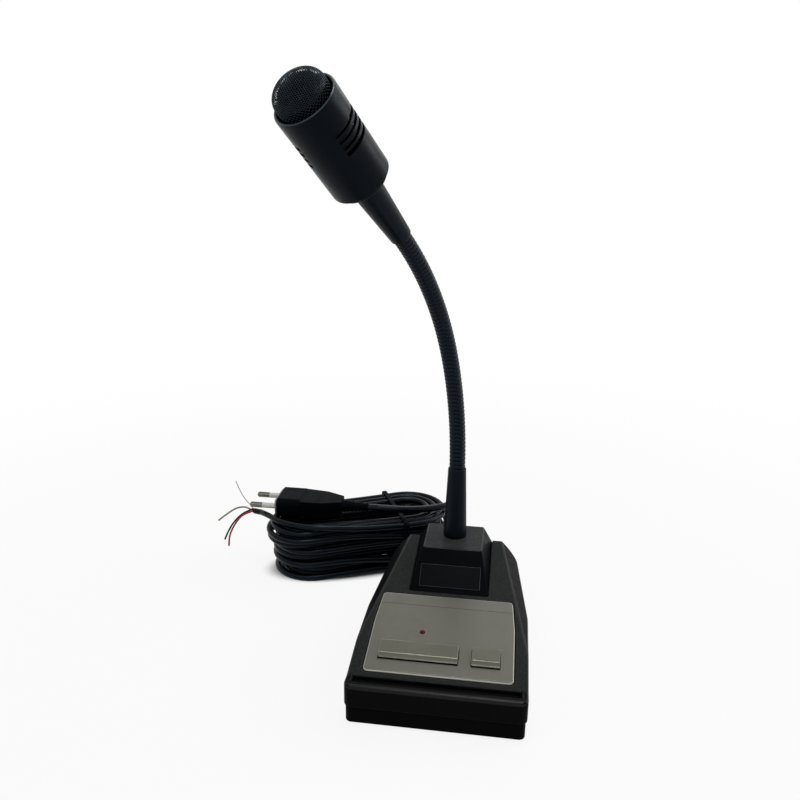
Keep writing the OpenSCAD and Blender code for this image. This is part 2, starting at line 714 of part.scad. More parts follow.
module switch_body(x) {
    color(deep_black) on_deck() translate([x, key_mid, -board_drop]) difference() {
        translate([-switch_w / 2, -switch_w / 2, 0]) cube([switch_w, switch_w, switch_h]);
        translate([0, 0, switch_h - plunger_in - key_travel - 0.3])
            cylinder(d = plunger_d + 2 * plunger_gap, h = far);
    }
}
module chime_switch() {
    switch_body(chime_key_x);
}
module talk_switch() {
    switch_body(talk_key_x);
}

// Circuit board under the deck, with what stands on it
module circuit_board() {
    color("darkgreen") on_deck() difference() {
        translate([-board_w / 2, board_from, -board_drop - board_t]) cube([board_w, board_l, board_t]);
        for (p = board_screw_places) translate([p[0], p[1], -board_drop - board_t - 1])
            cylinder(d = pilot_d + screw_clear, h = board_t + 2);
    }
}
module board_screws() {
    color(steel) on_deck() for (p = board_screw_places)
        translate([p[0], p[1], -board_drop - board_t - screw_head_t])
        screw(board_t + screw_bite - 2, board_boss_d - 1);
}
module status_led() {
    leg = 0.5;
    body_l = 4.4;
    top = key_floor + led_out;
    color("darkred") on_deck() translate([led_x, led_from, 0]) {
        translate([0, 0, top - led_d / 2]) sphere(d = led_d);
        translate([0, 0, top - led_d / 2 - body_l]) cylinder(d = led_d, h = body_l);
        for (s = [-1, 1]) translate([s * led_d / 4 - leg / 2, -leg / 2, -board_drop])
            cube([leg, leg, board_drop + top - led_d / 2 - body_l + eps]);
    }
}
module chime_chip() {
    chip = [19.3, 6.4, 3.4];
    pin = [0.5, 1.2, 2];
    color(deep_black) on_deck() translate([chip_place[0], chip_place[1], -board_drop]) {
        translate([-chip[0] / 2, -chip[1] / 2, 0.5]) cube(chip);
        for (i = [-3.5:3.5]) for (s = [-1, 1])
            translate([i * 2.54 - pin[0] / 2, s * chip[1] / 2 - pin[1] / 2, 0]) cube(pin);
    }
}
module capacitors() {
    color("midnightblue") on_deck() for (p = can_places)
        translate([p[0], p[1], -board_drop]) cylinder(d = can_d, h = can_h);
}

// Mains transformer on the lower case's floor, and the terminals beside it
core_leg = core_w / 3;
core_yoke = core_leg / 2;
window_w = core_w / 6;
core_from = deck_y + (ped_from + ped_screw_in) * cos(deck_angle) + ped_screw_head_d / 2 + 2;
core_at = [0, core_from + core_stack / 2, floor_z];
winding_gap = 0.2;
module transformer_core() {
    color("dimgray") translate(core_at) difference() {
        translate([-core_w / 2, -core_stack / 2, 0]) cube([core_w, core_stack, core_h]);
        for (s = [-1, 1]) translate([s * (core_leg + window_w) / 2 - window_w / 2, -core_stack, core_yoke])
            cube([window_w, 2 * core_stack, core_h - 2 * core_yoke]);
    }
}
module transformer_winding() {
    h = core_h - 2 * core_yoke - 2 * winding_gap;
    thick = window_w - 2 * winding_gap;
    hole = [core_leg + 2 * winding_gap, core_stack + 2 * winding_gap];
    color("peru") translate(core_at + [0, 0, core_yoke + winding_gap]) linear_extrude(h) difference() {
        square(hole + 2 * [thick, thick], center = true);
        square(hole, center = true);
    }
}
module terminal_block() {
    ways = 4;
    pitch = 4.4;
    block = [ways * pitch, 8.4, 10];
    color("lightgray") translate([core_w / 2 + 2, core_at[1] - block[1] / 2, floor_z]) difference() {
        cube(block);
        for (i = [0:ways - 1]) translate([(i + 0.5) * pitch, block[1] / 2, 3]) cylinder(d = 3, h = block[2]);
    }
}

// Pedestal: a tilted foot, a slanted front with a pocket for the plate, and a level top that carries the neck
function block_outline(w, l, inset) = let (a = w / 2 - inset, r = max(ped_round - inset, 0.4))
    rounded([[-a, inset], [a, inset], [a, l - inset], [-a, l - inset]], [r, r, r, r]);
module pedestal_form(inset, drop) {
    hull() {
        on_deck() translate([0, ped_from, -ped_pocket - (inset > 0 ? 1 : 0)]) linear_extrude(eps)
            polygon(block_outline(ped_foot_w, ped_foot_l, inset));
        translate([0, ped_top_y, ped_top_z - drop - eps]) linear_extrude(eps)
            polygon(block_outline(ped_top_w, ped_top_l, inset));
    }
}
module on_ped_face() {
    translate([0, ped_foot_y, deck_z(ped_foot_y)]) rotate([ped_face_angle, 0, 0]) children();
}
module neck_pedestal() {
    color(case_black) difference() {
        union() {
            difference() {
                pedestal_form(0, 0);
                pedestal_form(ped_wall, ped_wall + 0.4);
            }
            intersection() {
                pedestal_form(0.4, 0.4);
                on_deck() for (p = ped_screw_places) translate([p[0], p[1], -ped_pocket])
                    cylinder(d = ped_post_d, h = far);
            }
        }
        on_ped_face() translate([-plate_w / 2 - plate_gap, plate_from - plate_gap, -plate_sunk - plate_t])
            cube([plate_w + 2 * plate_gap, plate_h + 2 * plate_gap, far]);
        translate([0, neck_y, ped_top_z - far / 2]) cylinder(d = hose_d + 2 * neck_gap, h = far);
        on_deck() for (p = ped_screw_places) translate([p[0], p[1], -ped_pocket - 1])
            cylinder(d = pilot_d, h = screw_bite - 1);
    }
}
module name_plate() {
    color(deep_black) on_ped_face() translate([-plate_w / 2, plate_from, -plate_sunk - plate_t])
        cube([plate_w, plate_h, plate_t]);
}
module pedestal_screws() {
    color(steel) on_deck() for (p = ped_screw_places)
        translate([p[0], p[1], -ped_pocket - wall - screw_head_t])
        screw(wall + screw_bite - 3, ped_screw_head_d);
}

// Neck: ferrule, nut and sleeve on the pedestal, then the ribbed hose in four parts
module neck_ferrule() {
    color(steel) translate([0, neck_y, ped_top_z]) difference() {
        union() {
            translate([0, 0, -ferrule_below]) cylinder(d = hose_d, h = ferrule_below + sleeve_l - hose_seat);
            cylinder(d = ferrule_flange_d, h = ferrule_flange_t);
        }
        translate([0, 0, -ferrule_below - 1]) cylinder(d = hose_bore, h = far);
    }
}
module neck_nut() {
    color(steel) translate([0, neck_y, ped_top_z - ped_wall - 0.4 - nut_t]) difference() {
        cylinder(d = nut_d, h = nut_t, $fn = 6);
        translate([0, 0, -1]) cylinder(d = hose_d + 2 * slip, h = nut_t + 2);
    }
}
module neck_base_sleeve() {
    bore = hose_d / 2 + neck_gap;
    counter = ferrule_flange_d / 2 + neck_gap;
    counter_z = ferrule_flange_t + neck_gap;
    foot = sleeve_foot_d / 2;
    top = sleeve_top_d / 2;
    profile = [[counter, 0], [foot - 0.4, 0], [foot, 0.4], [foot, 1.6], [top, sleeve_l - 0.5],
        [top - 0.4, sleeve_l], [bore, sleeve_l], [bore, counter_z], [counter, counter_z]];
    color(deep_black) translate([0, neck_y, ped_top_z]) rotate_extrude() polygon(profile);
}
module neck_hose(i) {
    from = part_ends[i] + part_gap;
    length = part_l - 2 * part_gap;
    steps = 2 * ribs_per_part;
    bore_steps = ceil(ribs_per_part / 2);
    outer = [for (k = [0:steps]) neck_point(from + length * k / steps)];
    inner = [for (k = [0:bore_steps]) neck_point(from + length * k / bore_steps)];
    radii = [for (k = [0:steps]) hose_d / 2 - (k % 2 == 0 ? rib_depth : 0)];
    color([0.13, 0.13, 0.14]) ribbed_tube(outer, radii, inner, hose_bore, bend_side, 8);
}
module neck_hose_1() {
    neck_hose(0);
}
module neck_hose_2() {
    neck_hose(1);
}
module neck_hose_3() {
    neck_hose(2);
}
module neck_hose_4() {
    neck_hose(3);
}

// Head: a tapered sleeve, a collar, a slotted barrel and a perforated dome
module neck_head_sleeve() {
    bore = hose_d / 2 + neck_gap;
    small = cone_small_d / 2;
    profile = [[bore, 0], [small - 0.4, 0], [small, 0.4], [cone_large_d / 2, cone_l], [spigot_d / 2, cone_l],
        [spigot_d / 2, cone_l + spigot_l], [hose_bore / 2, cone_l + spigot_l], [hose_bore / 2, hose_seat],
        [bore, hose_seat]];
    color(deep_black) in_head() rotate_extrude() polygon(profile);
}
module head_collar() {
    bore = spigot_d / 2 + slip;
    outer = collar_d / 2;
    profile = [[bore, 0], [outer - 1.6, 0], [outer, 1.2], [outer, collar_t], [bore, collar_t]];
    color(case_black) in_head() translate([0, 0, collar_z]) rotate_extrude() polygon(profile);
}
module head_barrel() {
    outer = head_d / 2;
    bore = head_bore / 2;
    seat = rim_z - seat_drop;
    profile = [[spigot_d / 2 + slip, barrel_z], [collar_d / 2, barrel_z], [outer, barrel_z + barrel_slope],
        [outer, rim_z - 0.6], [outer - 0.6, rim_z], [bore + 0.3, rim_z], [bore, rim_z - 0.3], [bore, seat],
        [grille_r - 1.2, seat], [grille_r - 1.2, seat - seat_t], [bore, seat - seat_t],
        [bore, barrel_z + barrel_floor], [spigot_d / 2 + slip, barrel_z + barrel_floor]];
    color(case_black) in_head() difference() {
        rotate_extrude() polygon(profile);
        for (i = [0:slot_count - 1]) for (g = [0, 180])
            translate([0, 0, rim_z - slot_from - i * slot_pitch])
            rotate([0, 0, slot_place + g - slot_turn / 2]) rotate_extrude(angle = slot_turn)
            translate([bore - 1, -slot_w / 2]) square([head_wall + 2, slot_w]);
    }
}
module grille_cut() {
    translate([0, 0, grille_rise / 2]) cylinder(d = grille_hole, h = grille_r);
}
module head_grille() {
    centre = rim_z + grille_lift;
    foot = rim_z - seat_drop;
    inner = grille_r - grille_t;
    ring_turn = 78 / grille_rings;
    color([0.16, 0.16, 0.17]) in_head() difference() {
        rotate_extrude() union() {
            translate([0, centre]) intersection() {
                difference() {
                    scale([1, grille_rise / grille_r]) circle(r = grille_r);
                    scale([1, (grille_rise - grille_t) / inner]) circle(r = inner);
                }
                square([far, far]);
            }
            translate([inner, foot]) square([grille_t, centre - foot + eps]);
            translate([inner, foot]) square([head_bore / 2 - slip - inner, 1]);
        }
        translate([0, 0, centre]) {
            grille_cut();
            for (i = [1:grille_rings]) for (k = [0:6 * i - 1])
                rotate([0, 0, (k + (i % 2) / 2) * 60 / i]) rotate([0, i * ring_turn, 0]) grille_cut();
        }
    }
}
module mic_capsule() {
    color("dimgray") in_head() translate([0, 0, rim_z - seat_drop - seat_t - capsule_ring_t - 1]) {
        translate([0, 0, -capsule_l + capsule_ring_t + 1]) cylinder(d = capsule_d, h = capsule_l);
        translate([0, 0, -capsule_l + capsule_ring_t - 2]) cylinder(d = capsule_d / 2, h = 4);
    }
}
module capsule_rings() {
    ring_w = (head_bore - capsule_d) / 2 - 2 * slip;
    color(deep_black) in_head() for (drop = [capsule_ring_t, capsule_l - 0.5])
        translate([0, 0, rim_z - seat_drop - seat_t - drop]) rotate_extrude()
        translate([capsule_d / 2 + slip, 0]) square([ring_w, capsule_ring_t - slip]);
}

// Strain reliefs in the rear wall
module strain_relief(x) {
    neck_r = relief_hole_d / 2 - slip;
    flange_r = relief_flange_d / 2;
    tip_r = relief_tip_d / 2;
    rib = 2;
    ribs = [for (i = [0:4]) each let (y = wall + 3 + i * rib, r = neck_r - i * (neck_r - tip_r) / 5)
        [[r, y], [r, y + rib / 2], [r - 0.7, y + rib / 2], [r - 0.7, y + rib]]];
    clamp = [[0, -1.5], [flange_r, -1.5], [flange_r, 0], [neck_r, 0], [neck_r, wall], [flange_r, wall],
        [flange_r, wall + 1.5], [neck_r, wall + 1.5]];
    tip = [[tip_r, wall + 13], [tip_r, wall + relief_l], [0, wall + relief_l]];
    color(deep_black) along_y([x, rear_y - wall, relief_z]) rotate_extrude()
        polygon(concat(clamp, ribs, tip));
}
module mains_relief() {
    strain_relief(mains_out_x);
}
module signal_relief() {
    strain_relief(signal_out_x);
}

// Cords: leads to the hanks, the hanks, and tails to the plug and the bare ends
module lead(x, route, path, d) {
    start = path[0];
    points = concat(straight_start([x, rear_y + relief_l, relief_z], [0, 1, 0], d), route,
        straight_end(start, path[1] - start, d));
    color(cord_black) tube(smooth(points, 2), d, 8);
}
module tail(route, path, last, d) {
    m = len(path) - 1;
    points = concat(straight_start(path[m], path[m] - path[m - 1], d), route, last);
    color(cord_black) tube(smooth(points, 2), d, 8);
}
module mains_lead() {
    lead(mains_out_x, mains_lead_route, mains_hank_path(), mains_d);
}
module mains_hank() {
    path = mains_hank_path();
    echo(mains_hank_gap = self_gap(path, mains_d));
    color(cord_black) tube(path, mains_d, 6);
}
module mains_tail() {
    into_plug = straight_end(plug_at + [plug_l + plug_relief_l, 0, 0], [-1, 0, 0], mains_d);
    tail(mains_tail_route, mains_hank_path(), into_plug, mains_d);
}
module signal_lead() {
    lead(signal_out_x, signal_lead_route, signal_hank_path(), signal_d);
}
module signal_hank() {
    path = signal_hank_path();
    echo(signal_hank_gap = self_gap(path, signal_d));
    color(cord_black) tube(path, signal_d, 6);
}
module signal_tail() {
    tail(signal_tail_route, signal_hank_path(), straight_end(signal_end, signal_way, signal_d), signal_d);
}
module conductor(route, across, above, d) {
    side = unit(cross(signal_way, [0, 0, 1]));
    start = signal_end + across * side + above * cross(side, signal_way);
    tube(smooth(concat(straight_start(start, signal_way, conductor_d), route), 3), d, 6);
}
module red_conductor() {
    color("firebrick") conductor(red_route, -0.8, -0.6, conductor_d);
}
module black_conductor() {
    color(deep_black) conductor(black_route, 0, 0.9, conductor_d);
}
module white_conductor() {
    color("wheat") conductor(white_route, 0.8, -0.6, conductor_d);
}
module screen_strand() {
    color("tan") conductor(screen_route, 1.2, 0.7, strand_d);
}
module hank_tie() {
    depth = 2 * (hank_r + signal_d / 2 + tie_gap);
    low = hank_lift - tie_gap;
    high = hank_top + tie_gap;
    color(deep_black) translate([hank_x, hank_y, (low + high) / 2]) rotate([0, 0, hank_angle])
        translate([tie_place, 0, 0]) along_x(tie_w) difference() {
            polygon(rounded_box(depth + 2 * tie_t, high - low + 2 * tie_t, 3));
            polygon(rounded_box(depth, high - low, 3 - tie_t));
        }
}

// Two-pin plug with a grip and a ribbed strain relief
function both_ways(p) = concat(p, [for (i = [len(p) - 1:-1:0]) [p[i][0], -p[i][1]]]);
module plug_form() {
    step = plug_l * 0.36;
    waist = plug_l * 0.72;
    w = plug_w / 2;
    h = plug_h / 2;
    intersection() {
        rotate([90, 0, 90]) linear_extrude(plug_l) polygon(rounded_box(plug_w, plug_h, plug_r));
        linear_extrude(plug_h, center = true)
            polygon(both_ways([[0, -w], [step, -w], [step + 1, 1 - w], [waist, 2.4 - w], [plug_l, -6]]));
        rotate([90, 0, 0]) linear_extrude(plug_w, center = true)
            polygon(both_ways([[0, -h], [step, -h], [step + 1, 1 - h], [waist, 1.4 - h], [plug_l, -5]]));
    }
}
module plug_body() {
    tip_r = plug_tip_d / 2;
    root_r = 4.6;
    rib = 2.4;
    ribs = [for (i = [0:6]) each let (x = i * rib, r = root_r - i * (root_r - tip_r) / 7)
        [[r, x], [r, x + rib / 2], [r - 0.8, x + rib / 2], [r - 0.8, x + rib]]];
    root = [[0, -2], [root_r, -2]];
    tip = [[tip_r, 7 * rib], [tip_r, plug_relief_l], [0, plug_relief_l]];
    color(deep_black) translate(plug_at) difference() {
        union() {
            plug_form();
            translate([plug_l, 0, 0]) rotate([0, 90, 0]) rotate_extrude() polygon(concat(root, ribs, tip));
        }
        translate([-eps, 0, 0]) rotate([90, 0, 90]) linear_extrude(face_t - face_proud + eps)
            polygon(rounded_box(plug_w - 2 * face_edge, plug_h - 2 * face_edge, plug_r - face_edge));
        for (s = [-1, 1]) translate([-1, s * pin_pitch / 2, 0]) rotate([0, 90, 0])
            cylinder(d = pin_core_d + 2 * slip, h = 1 + pin_root + face_t - face_proud + slip);
    }
}
module plug_face() {
    inset = face_edge + face_fit;
    color("silver") translate(plug_at + [-face_proud, 0, 0]) difference() {
        rotate([90, 0, 90]) linear_extrude(face_t)
            polygon(rounded_box(plug_w - 2 * inset, plug_h - 2 * inset, plug_r - inset));
        for (s = [-1, 1]) translate([-1, s * pin_pitch / 2, 0]) rotate([0, 90, 0])
            cylinder(d = pin_core_d + 2 * slip, h = face_t + 2);
    }
}
module plug_pins() {
    core_l = pin_sleeve_l + face_t + pin_root;
    tip_l = pin_l - pin_sleeve_l;
    r = pin_d / 2;
    core_r = pin_core_d / 2;
    end = tip_l + core_l;
    profile = [[0, 0], [r - 0.8, 0], [r, 0.8], [r, tip_l], [core_r, tip_l], [core_r, end], [0, end]];
    color(steel) for (s = [-1, 1]) translate(plug_at + [-face_proud - pin_l, s * pin_pitch / 2, 0])
        rotate([0, 90, 0]) rotate_extrude() polygon(profile);
}
module pin_sleeves() {
    thick = (pin_d - pin_core_d) / 2 - 2 * slip;
    color("gainsboro") for (s = [-1, 1]) translate(plug_at + [-face_proud, s * pin_pitch / 2, 0])
        rotate([0, -90, 0]) rotate_extrude() translate([pin_core_d / 2 + slip, 0])
        square([thick, pin_sleeve_l - slip]);
}

bottom_cover();
top_cover();
fascia_panel();
neck_pedestal();
name_plate();
chime_key();
talk_key();
chime_plunger();
talk_plunger();
chime_switch();
talk_switch();
status_led();
circuit_board();
board_screws();
chime_chip();
capacitors();
transformer_core();
transformer_winding();
terminal_block();
cover_screws();
pedestal_screws();
rubber_feet();
neck_ferrule();
neck_nut();
neck_base_sleeve();
neck_hose_1();
neck_hose_2();
neck_hose_3();
neck_hose_4();
neck_head_sleeve();
head_collar();
head_barrel();
head_grille();
mic_capsule();
capsule_rings();
mains_relief();
signal_relief();
mains_lead();
mains_hank();
mains_tail();
signal_lead();
signal_hank();
signal_tail();
hank_tie();
plug_body();
plug_face();
plug_pins();
pin_sleeves();
red_conductor();
black_conductor();
white_conductor();
screen_strand();
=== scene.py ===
"""Looks of the desk paging microphone: its finishes, softened edges, ribbed neck, mesh dome and cords."""
import json
from math import cos, exp, floor, pi, radians, sin

import bmesh
import bpy
from mathutils import Matrix, Vector
from mathutils.bvhtree import BVHTree

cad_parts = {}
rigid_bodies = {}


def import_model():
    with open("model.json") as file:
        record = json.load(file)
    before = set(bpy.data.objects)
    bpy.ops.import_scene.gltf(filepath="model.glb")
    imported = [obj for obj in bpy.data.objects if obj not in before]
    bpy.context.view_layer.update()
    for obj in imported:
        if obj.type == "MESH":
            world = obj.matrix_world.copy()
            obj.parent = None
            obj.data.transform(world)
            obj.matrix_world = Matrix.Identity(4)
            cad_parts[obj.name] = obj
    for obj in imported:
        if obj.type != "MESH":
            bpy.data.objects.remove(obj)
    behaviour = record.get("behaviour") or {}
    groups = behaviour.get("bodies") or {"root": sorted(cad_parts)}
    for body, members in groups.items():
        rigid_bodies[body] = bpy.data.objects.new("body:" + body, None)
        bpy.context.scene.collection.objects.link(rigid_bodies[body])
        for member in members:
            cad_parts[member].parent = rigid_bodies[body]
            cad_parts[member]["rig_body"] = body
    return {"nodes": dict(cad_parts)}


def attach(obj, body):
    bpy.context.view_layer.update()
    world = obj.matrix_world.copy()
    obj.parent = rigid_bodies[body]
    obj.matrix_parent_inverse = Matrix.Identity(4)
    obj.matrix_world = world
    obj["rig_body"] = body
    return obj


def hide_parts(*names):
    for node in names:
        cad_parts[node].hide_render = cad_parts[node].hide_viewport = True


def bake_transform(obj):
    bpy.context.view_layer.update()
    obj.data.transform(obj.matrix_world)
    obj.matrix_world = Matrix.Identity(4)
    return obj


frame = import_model()
NODES = frame["nodes"]
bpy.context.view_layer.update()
MM = 0.001


def mm(*values):
    """A point given in millimetres, in metres."""
    return Vector(values) * MM


# Camera of the photograph
CAMERA_PLACE = mm(29.05, -417.55, 288.47)
CAMERA_PITCH = radians(16.95)
CAMERA_YAW = radians(7.97)
CAMERA_ROLL = radians(0.73)
CAMERA_SENSOR = 36
CAMERA_LENS = 36.06
CAMERA_NEAR = 10


def add_camera():
    """Camera at the photograph's place, looking down and to the left."""
    level = Vector((-sin(CAMERA_YAW), cos(CAMERA_YAW), 0))
    forward = level * cos(CAMERA_PITCH) - Vector((0, 0, sin(CAMERA_PITCH)))
    right = Vector((cos(CAMERA_YAW), sin(CAMERA_YAW), 0))
    up = right.cross(forward)
    rolled_right = right * cos(CAMERA_ROLL) + up * sin(CAMERA_ROLL)
    rolled_up = up * cos(CAMERA_ROLL) - right * sin(CAMERA_ROLL)
    data = bpy.data.cameras.new("photo_camera")
    data.sensor_width = CAMERA_SENSOR
    data.lens = CAMERA_LENS
    data.clip_start = CAMERA_NEAR * MM
    camera = bpy.data.objects.new("photo_camera", data)
    turn = Matrix((rolled_right, rolled_up, -forward)).transposed().to_4x4()
    camera.matrix_world = Matrix.Translation(CAMERA_PLACE) @ turn
    bpy.context.scene.collection.objects.link(camera)
    bpy.context.scene.camera = camera


# Meshes
def finish_piece(name, bm, smooth_angle=35):
    """Object at the origin from a bmesh, with smooth faces and sharp edges past an angle."""
    mesh = bpy.data.meshes.new(name)
    bm.to_mesh(mesh)
    bm.free()
    mesh.shade_smooth()
    mesh.set_sharp_from_angle(angle=radians(smooth_angle))
    piece = bpy.data.objects.new(name, mesh)
    bpy.context.scene.collection.objects.link(piece)
    return piece


def box_of(node):
    """Lowest and highest corner of a CAD node."""
    points = [vert.co for vert in NODES[node].data.vertices]
    return [Vector([pick(point[axis] for point in points) for axis in range(3)]) for pick in (min, max)]


BLOCK_BOX = box_of("neck_pedestal")
# Half width and reach, front to back, of the part of the fascia that its holes are in
HOLES_HALF_W = 37
HOLES_FROM = -50
HOLES_TO = -10
# Depth of the neck block's top edges, and the room round the block in its pocket
BLOCK_EDGE = 1
POCKET_ROOM = 2
# Corners closer than this are one: in a solid, in a rolled-up grid and in the liner
SOLID_MERGE = 0.002
GRID_MERGE = 0.0005
LINER_MERGE = 0.001
# Least turn of an edge that is rounded
SHARP_ANGLE = radians(28)
# How far off an edge, and how far out, the test for open air looks
AIR_FROM = 0.05
AIR_TO = 30


def bare_edge(node, middle):
    """True for an edge that stays sharp: round the fascia's holes, the neck block's foot and its pocket."""
    low, high = BLOCK_BOX
    if node == "fascia_panel":
        return abs(middle.x) < HOLES_HALF_W * MM and HOLES_FROM * MM < middle.y < HOLES_TO * MM
    if node == "neck_pedestal":
        return middle.z < high.z - BLOCK_EDGE * MM
    room = POCKET_ROOM * MM
    inside = low.x - room < middle.x < high.x + room and middle.y > low.y - room
    return node == "top_cover" and inside


def outer_edges(bm, node):
    """Sharp convex edges of a mesh that face the open air."""
    tree = BVHTree.FromBMesh(bm)
    edges = []
    for edge in bm.edges:
        if not edge.is_manifold or not edge.is_convex or edge.calc_face_angle(0) < SHARP_ANGLE:
            continue
        middle = (edge.verts[0].co + edge.verts[1].co) / 2
        out = (edge.link_faces[0].normal + edge.link_faces[1].normal).normalized()
        hit = tree.ray_cast(middle + out * AIR_FROM * MM, out, AIR_TO * MM)[0]
        if hit is None and not bare_edge(node, middle):
            edges.append(edge)
    return edges


# Rounded faces that look down further than this get neither the wear nor the painted highlight of their edge
WORN_AND_LIT_ABOVE = -0.2
# Faces within this angle of one another are one
FLAT_ANGLE = radians(0.5)


def softened(node, width):
    """Copy of a CAD node with its outer edges rounded, in the node's place and on its body."""
    bm = bmesh.new()
    bm.from_mesh(NODES[node].data)
    bmesh.ops.remove_doubles(bm, verts=bm.verts, dist=SOLID_MERGE * MM)
    bmesh.ops.dissolve_limit(bm, angle_limit=FLAT_ANGLE, verts=bm.verts, edges=bm.edges)
    bm.normal_update()
    rounded = bmesh.ops.bevel(bm, geom=outer_edges(bm, node), offset=width * MM, offset_type="OFFSET",
                              affect="EDGES", segments=3, profile=0.5, material=-1, clamp_overlap=False)
    # Rounded faces that look up take the second finish: worn paler, and lighter still as a painted highlight
    # of light from above
    for face in rounded["faces"]:
        face.normal_update()
        face.material_index = int(face.normal.z > WORN_AND_LIT_ABOVE)
    piece = finish_piece(node + "_finished", bm, 40)
    shading = piece.modifiers.new("even_shading", "WEIGHTED_NORMAL")
    shading.keep_sharp = True
    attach(piece, NODES[node]["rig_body"])
    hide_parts(node)
    return piece


def grid_mesh(columns, rows, place):
    """bmesh of a grid that is closed round its columns, each vertex put where place(column, row) says."""
    bm = bmesh.new()
    bmesh.ops.create_grid(bm, x_segments=columns, y_segments=rows, size=1)
    bm.verts.ensure_lookup_table()
    for index, vert in enumerate(bm.verts):
        vert.co = place(index % (columns + 1) % columns, index // (columns + 1))
    bmesh.ops.remove_doubles(bm, verts=bm.verts, dist=GRID_MERGE * MM)
    return bm


def close_ends(bm):
    """Caps the open ends of a tube and turns its faces outwards."""
    bmesh.ops.holes_fill(bm, edges=[e for e in bm.edges if e.is_boundary], sides=0)
    bmesh.ops.recalc_face_normals(bm, faces=bm.faces)


# Shortest level vector that still tells the side, and the beats of an oval cord's slow roll
LEVEL_LEAST = 0.15
ROLL_BEATS = (0.041, 0.013)


def path_sides(path):
    """Tangent and level side vector at each point of a path."""
    sides = []
    side = Vector((1, 0, 0))
    for index in range(len(path)):
        along = (path[min(index + 1, len(path) - 1)] - path[max(index - 1, 0)]).normalized()
        level = along.cross(Vector((0, 0, 1)))
        if level.length > LEVEL_LEAST:
            side = level.normalized()
        side = (side - along * side.dot(along)).normalized()
        sides.append((along, side))
    return sides


def swept(name, path, width, height, columns, roll=0):
    """Tube of an oval section along a path. The oval turns to and fro along it by roll."""
    sides = path_sides(path)

    def place(column, row):
        along, side = sides[row]
        over = side.cross(along)
        swing = roll * sin(row * ROLL_BEATS[0]) * sin(row * ROLL_BEATS[1] + 1)
        angle = 2 * pi * column / columns
        across = cos(angle) * width / 2
        rise = sin(angle) * height / 2
        flat = across * cos(swing) - rise * sin(swing)
        tall = across * sin(swing) + rise * cos(swing)
        return path[row] + side * flat + over * tall

    bm = grid_mesh(columns, len(path) - 1, place)
    close_ends(bm)
    return finish_piece(name, bm, 50)


# Paths
def between(a, b, c, d, t):
    """Point at t from b to c on a smooth curve through a, b, c and d."""
    square = (2 * a - 5 * b + 4 * c - d) * t * t
    cube = (3 * b - a - 3 * c + d) * t * t * t
    return 0.5 * (2 * b + (c - a) * t + square + cube)


def smooth_path(points, steps):
    """Smooth curve through the points."""
    last = len(points) - 1
    path = []
    for index in range(last):
        a = points[max(index - 1, 0)]
        d = points[min(index + 2, last)]
        path += [between(a, points[index], points[index + 1], d, step / steps) for step in range(steps)]
    return path + [points[last]]


# Cords
MAINS_D = 4.6
SIGNAL_D = 3.8
# Drawn a little fuller than that, and the mains cord a little oval and rolling
MAINS_WIDE = 5.1
MAINS_TALL = 4.9
MAINS_ROLL = 0.9
SIGNAL_WIDE = 4.1
REAR_Y = 69.5
RELIEF_L = 16
RELIEF_Z = 20
MAINS_OUT_X = 12
SIGNAL_OUT_X = 26
HANK_X = -72
HANK_Y = 113
HANK_ANGLE = radians(25)
HANK_RUN = 38
HANK_R = 28.5
HANK_PINCH = 0.1
HANK_LIFT = 1.2
HANK_LAYERS = 4
HANK_LEAN = 0.27
HANK_RAGGED = 3
HANK_WAVE = 13
LAYER_GAP = 0.5
HANKS_GAP = 0.1
MAINS_APART = 2.3
SIGNAL_APART = 1.9
MAINS_STEP = MAINS_D + MAINS_APART
SIGNAL_STEP = SIGNAL_D + SIGNAL_APART
MAINS_LOOPS = 2
SIGNAL_LOOPS = 3
# Share of a turn that climbs to the next layer, and that the mains cord stops short by
CLIMB_SHARE = 0.25
MAINS_SHORT = 0.25
LOOP_POINTS = 72
SWAY = 0.75
SWAY_BEATS = (0.137, 0.0531)
LIFT = 0.2
LIFT_BEATS = (0.211, 0.0477)
MAINS_RISE = MAINS_D + LAYER_GAP
SIGNAL_RISE = SIGNAL_D + LAYER_GAP
MAINS_Z = HANK_LIFT + MAINS_D / 2
SIGNAL_Z = HANK_LIFT + HANK_LAYERS * MAINS_RISE + HANKS_GAP + SIGNAL_D / 2
HANK_TOP = SIGNAL_Z - SIGNAL_D / 2 + HANK_LAYERS * SIGNAL_RISE - LAYER_GAP
PLUG_BACK = 65
PLUG_H = 13.7
PLUG_GAP = 0.3
PLUG_AT = (-131, 105, HANK_TOP + PLUG_GAP + PLUG_H / 2)
MAINS_LEAD_ROUTE = [(10.8, 101, 18.6), (7, 106.7, 14.5), (1.4, 110.5, 9.4), (-5.6, 111.7, 5.1)]
SIGNAL_LEAD_ROUTE = [(25.6, 97.5, 20.4), (21.5, 105.5, 21.2), (13, 111.5, 22.2), (1, 113.3, 23),
                     (-10, 111.2, 23.5)]
MAINS_TAIL_ROUTE = [(-29, 160, 20), (-16, 160, 25), (-5, 153, 31), (-2, 141, 37), (-8, 130, 41),
                    (-22, 118, 42.2), (-39, 108.8, 44)]
SIGNAL_TAIL_ROUTE = [(-45, 95.2, 36.5), (-68, 84.4, 38.2), (-90, 76, 40.8), (-108, 74.5, 41.2),
                     (-124, 80, 41), (-136, 90, 40.4)]
SIGNAL_END = mm(-150, 101, 38)
SIGNAL_WAY = Vector((-6, 3.4, -0.8)).normalized()
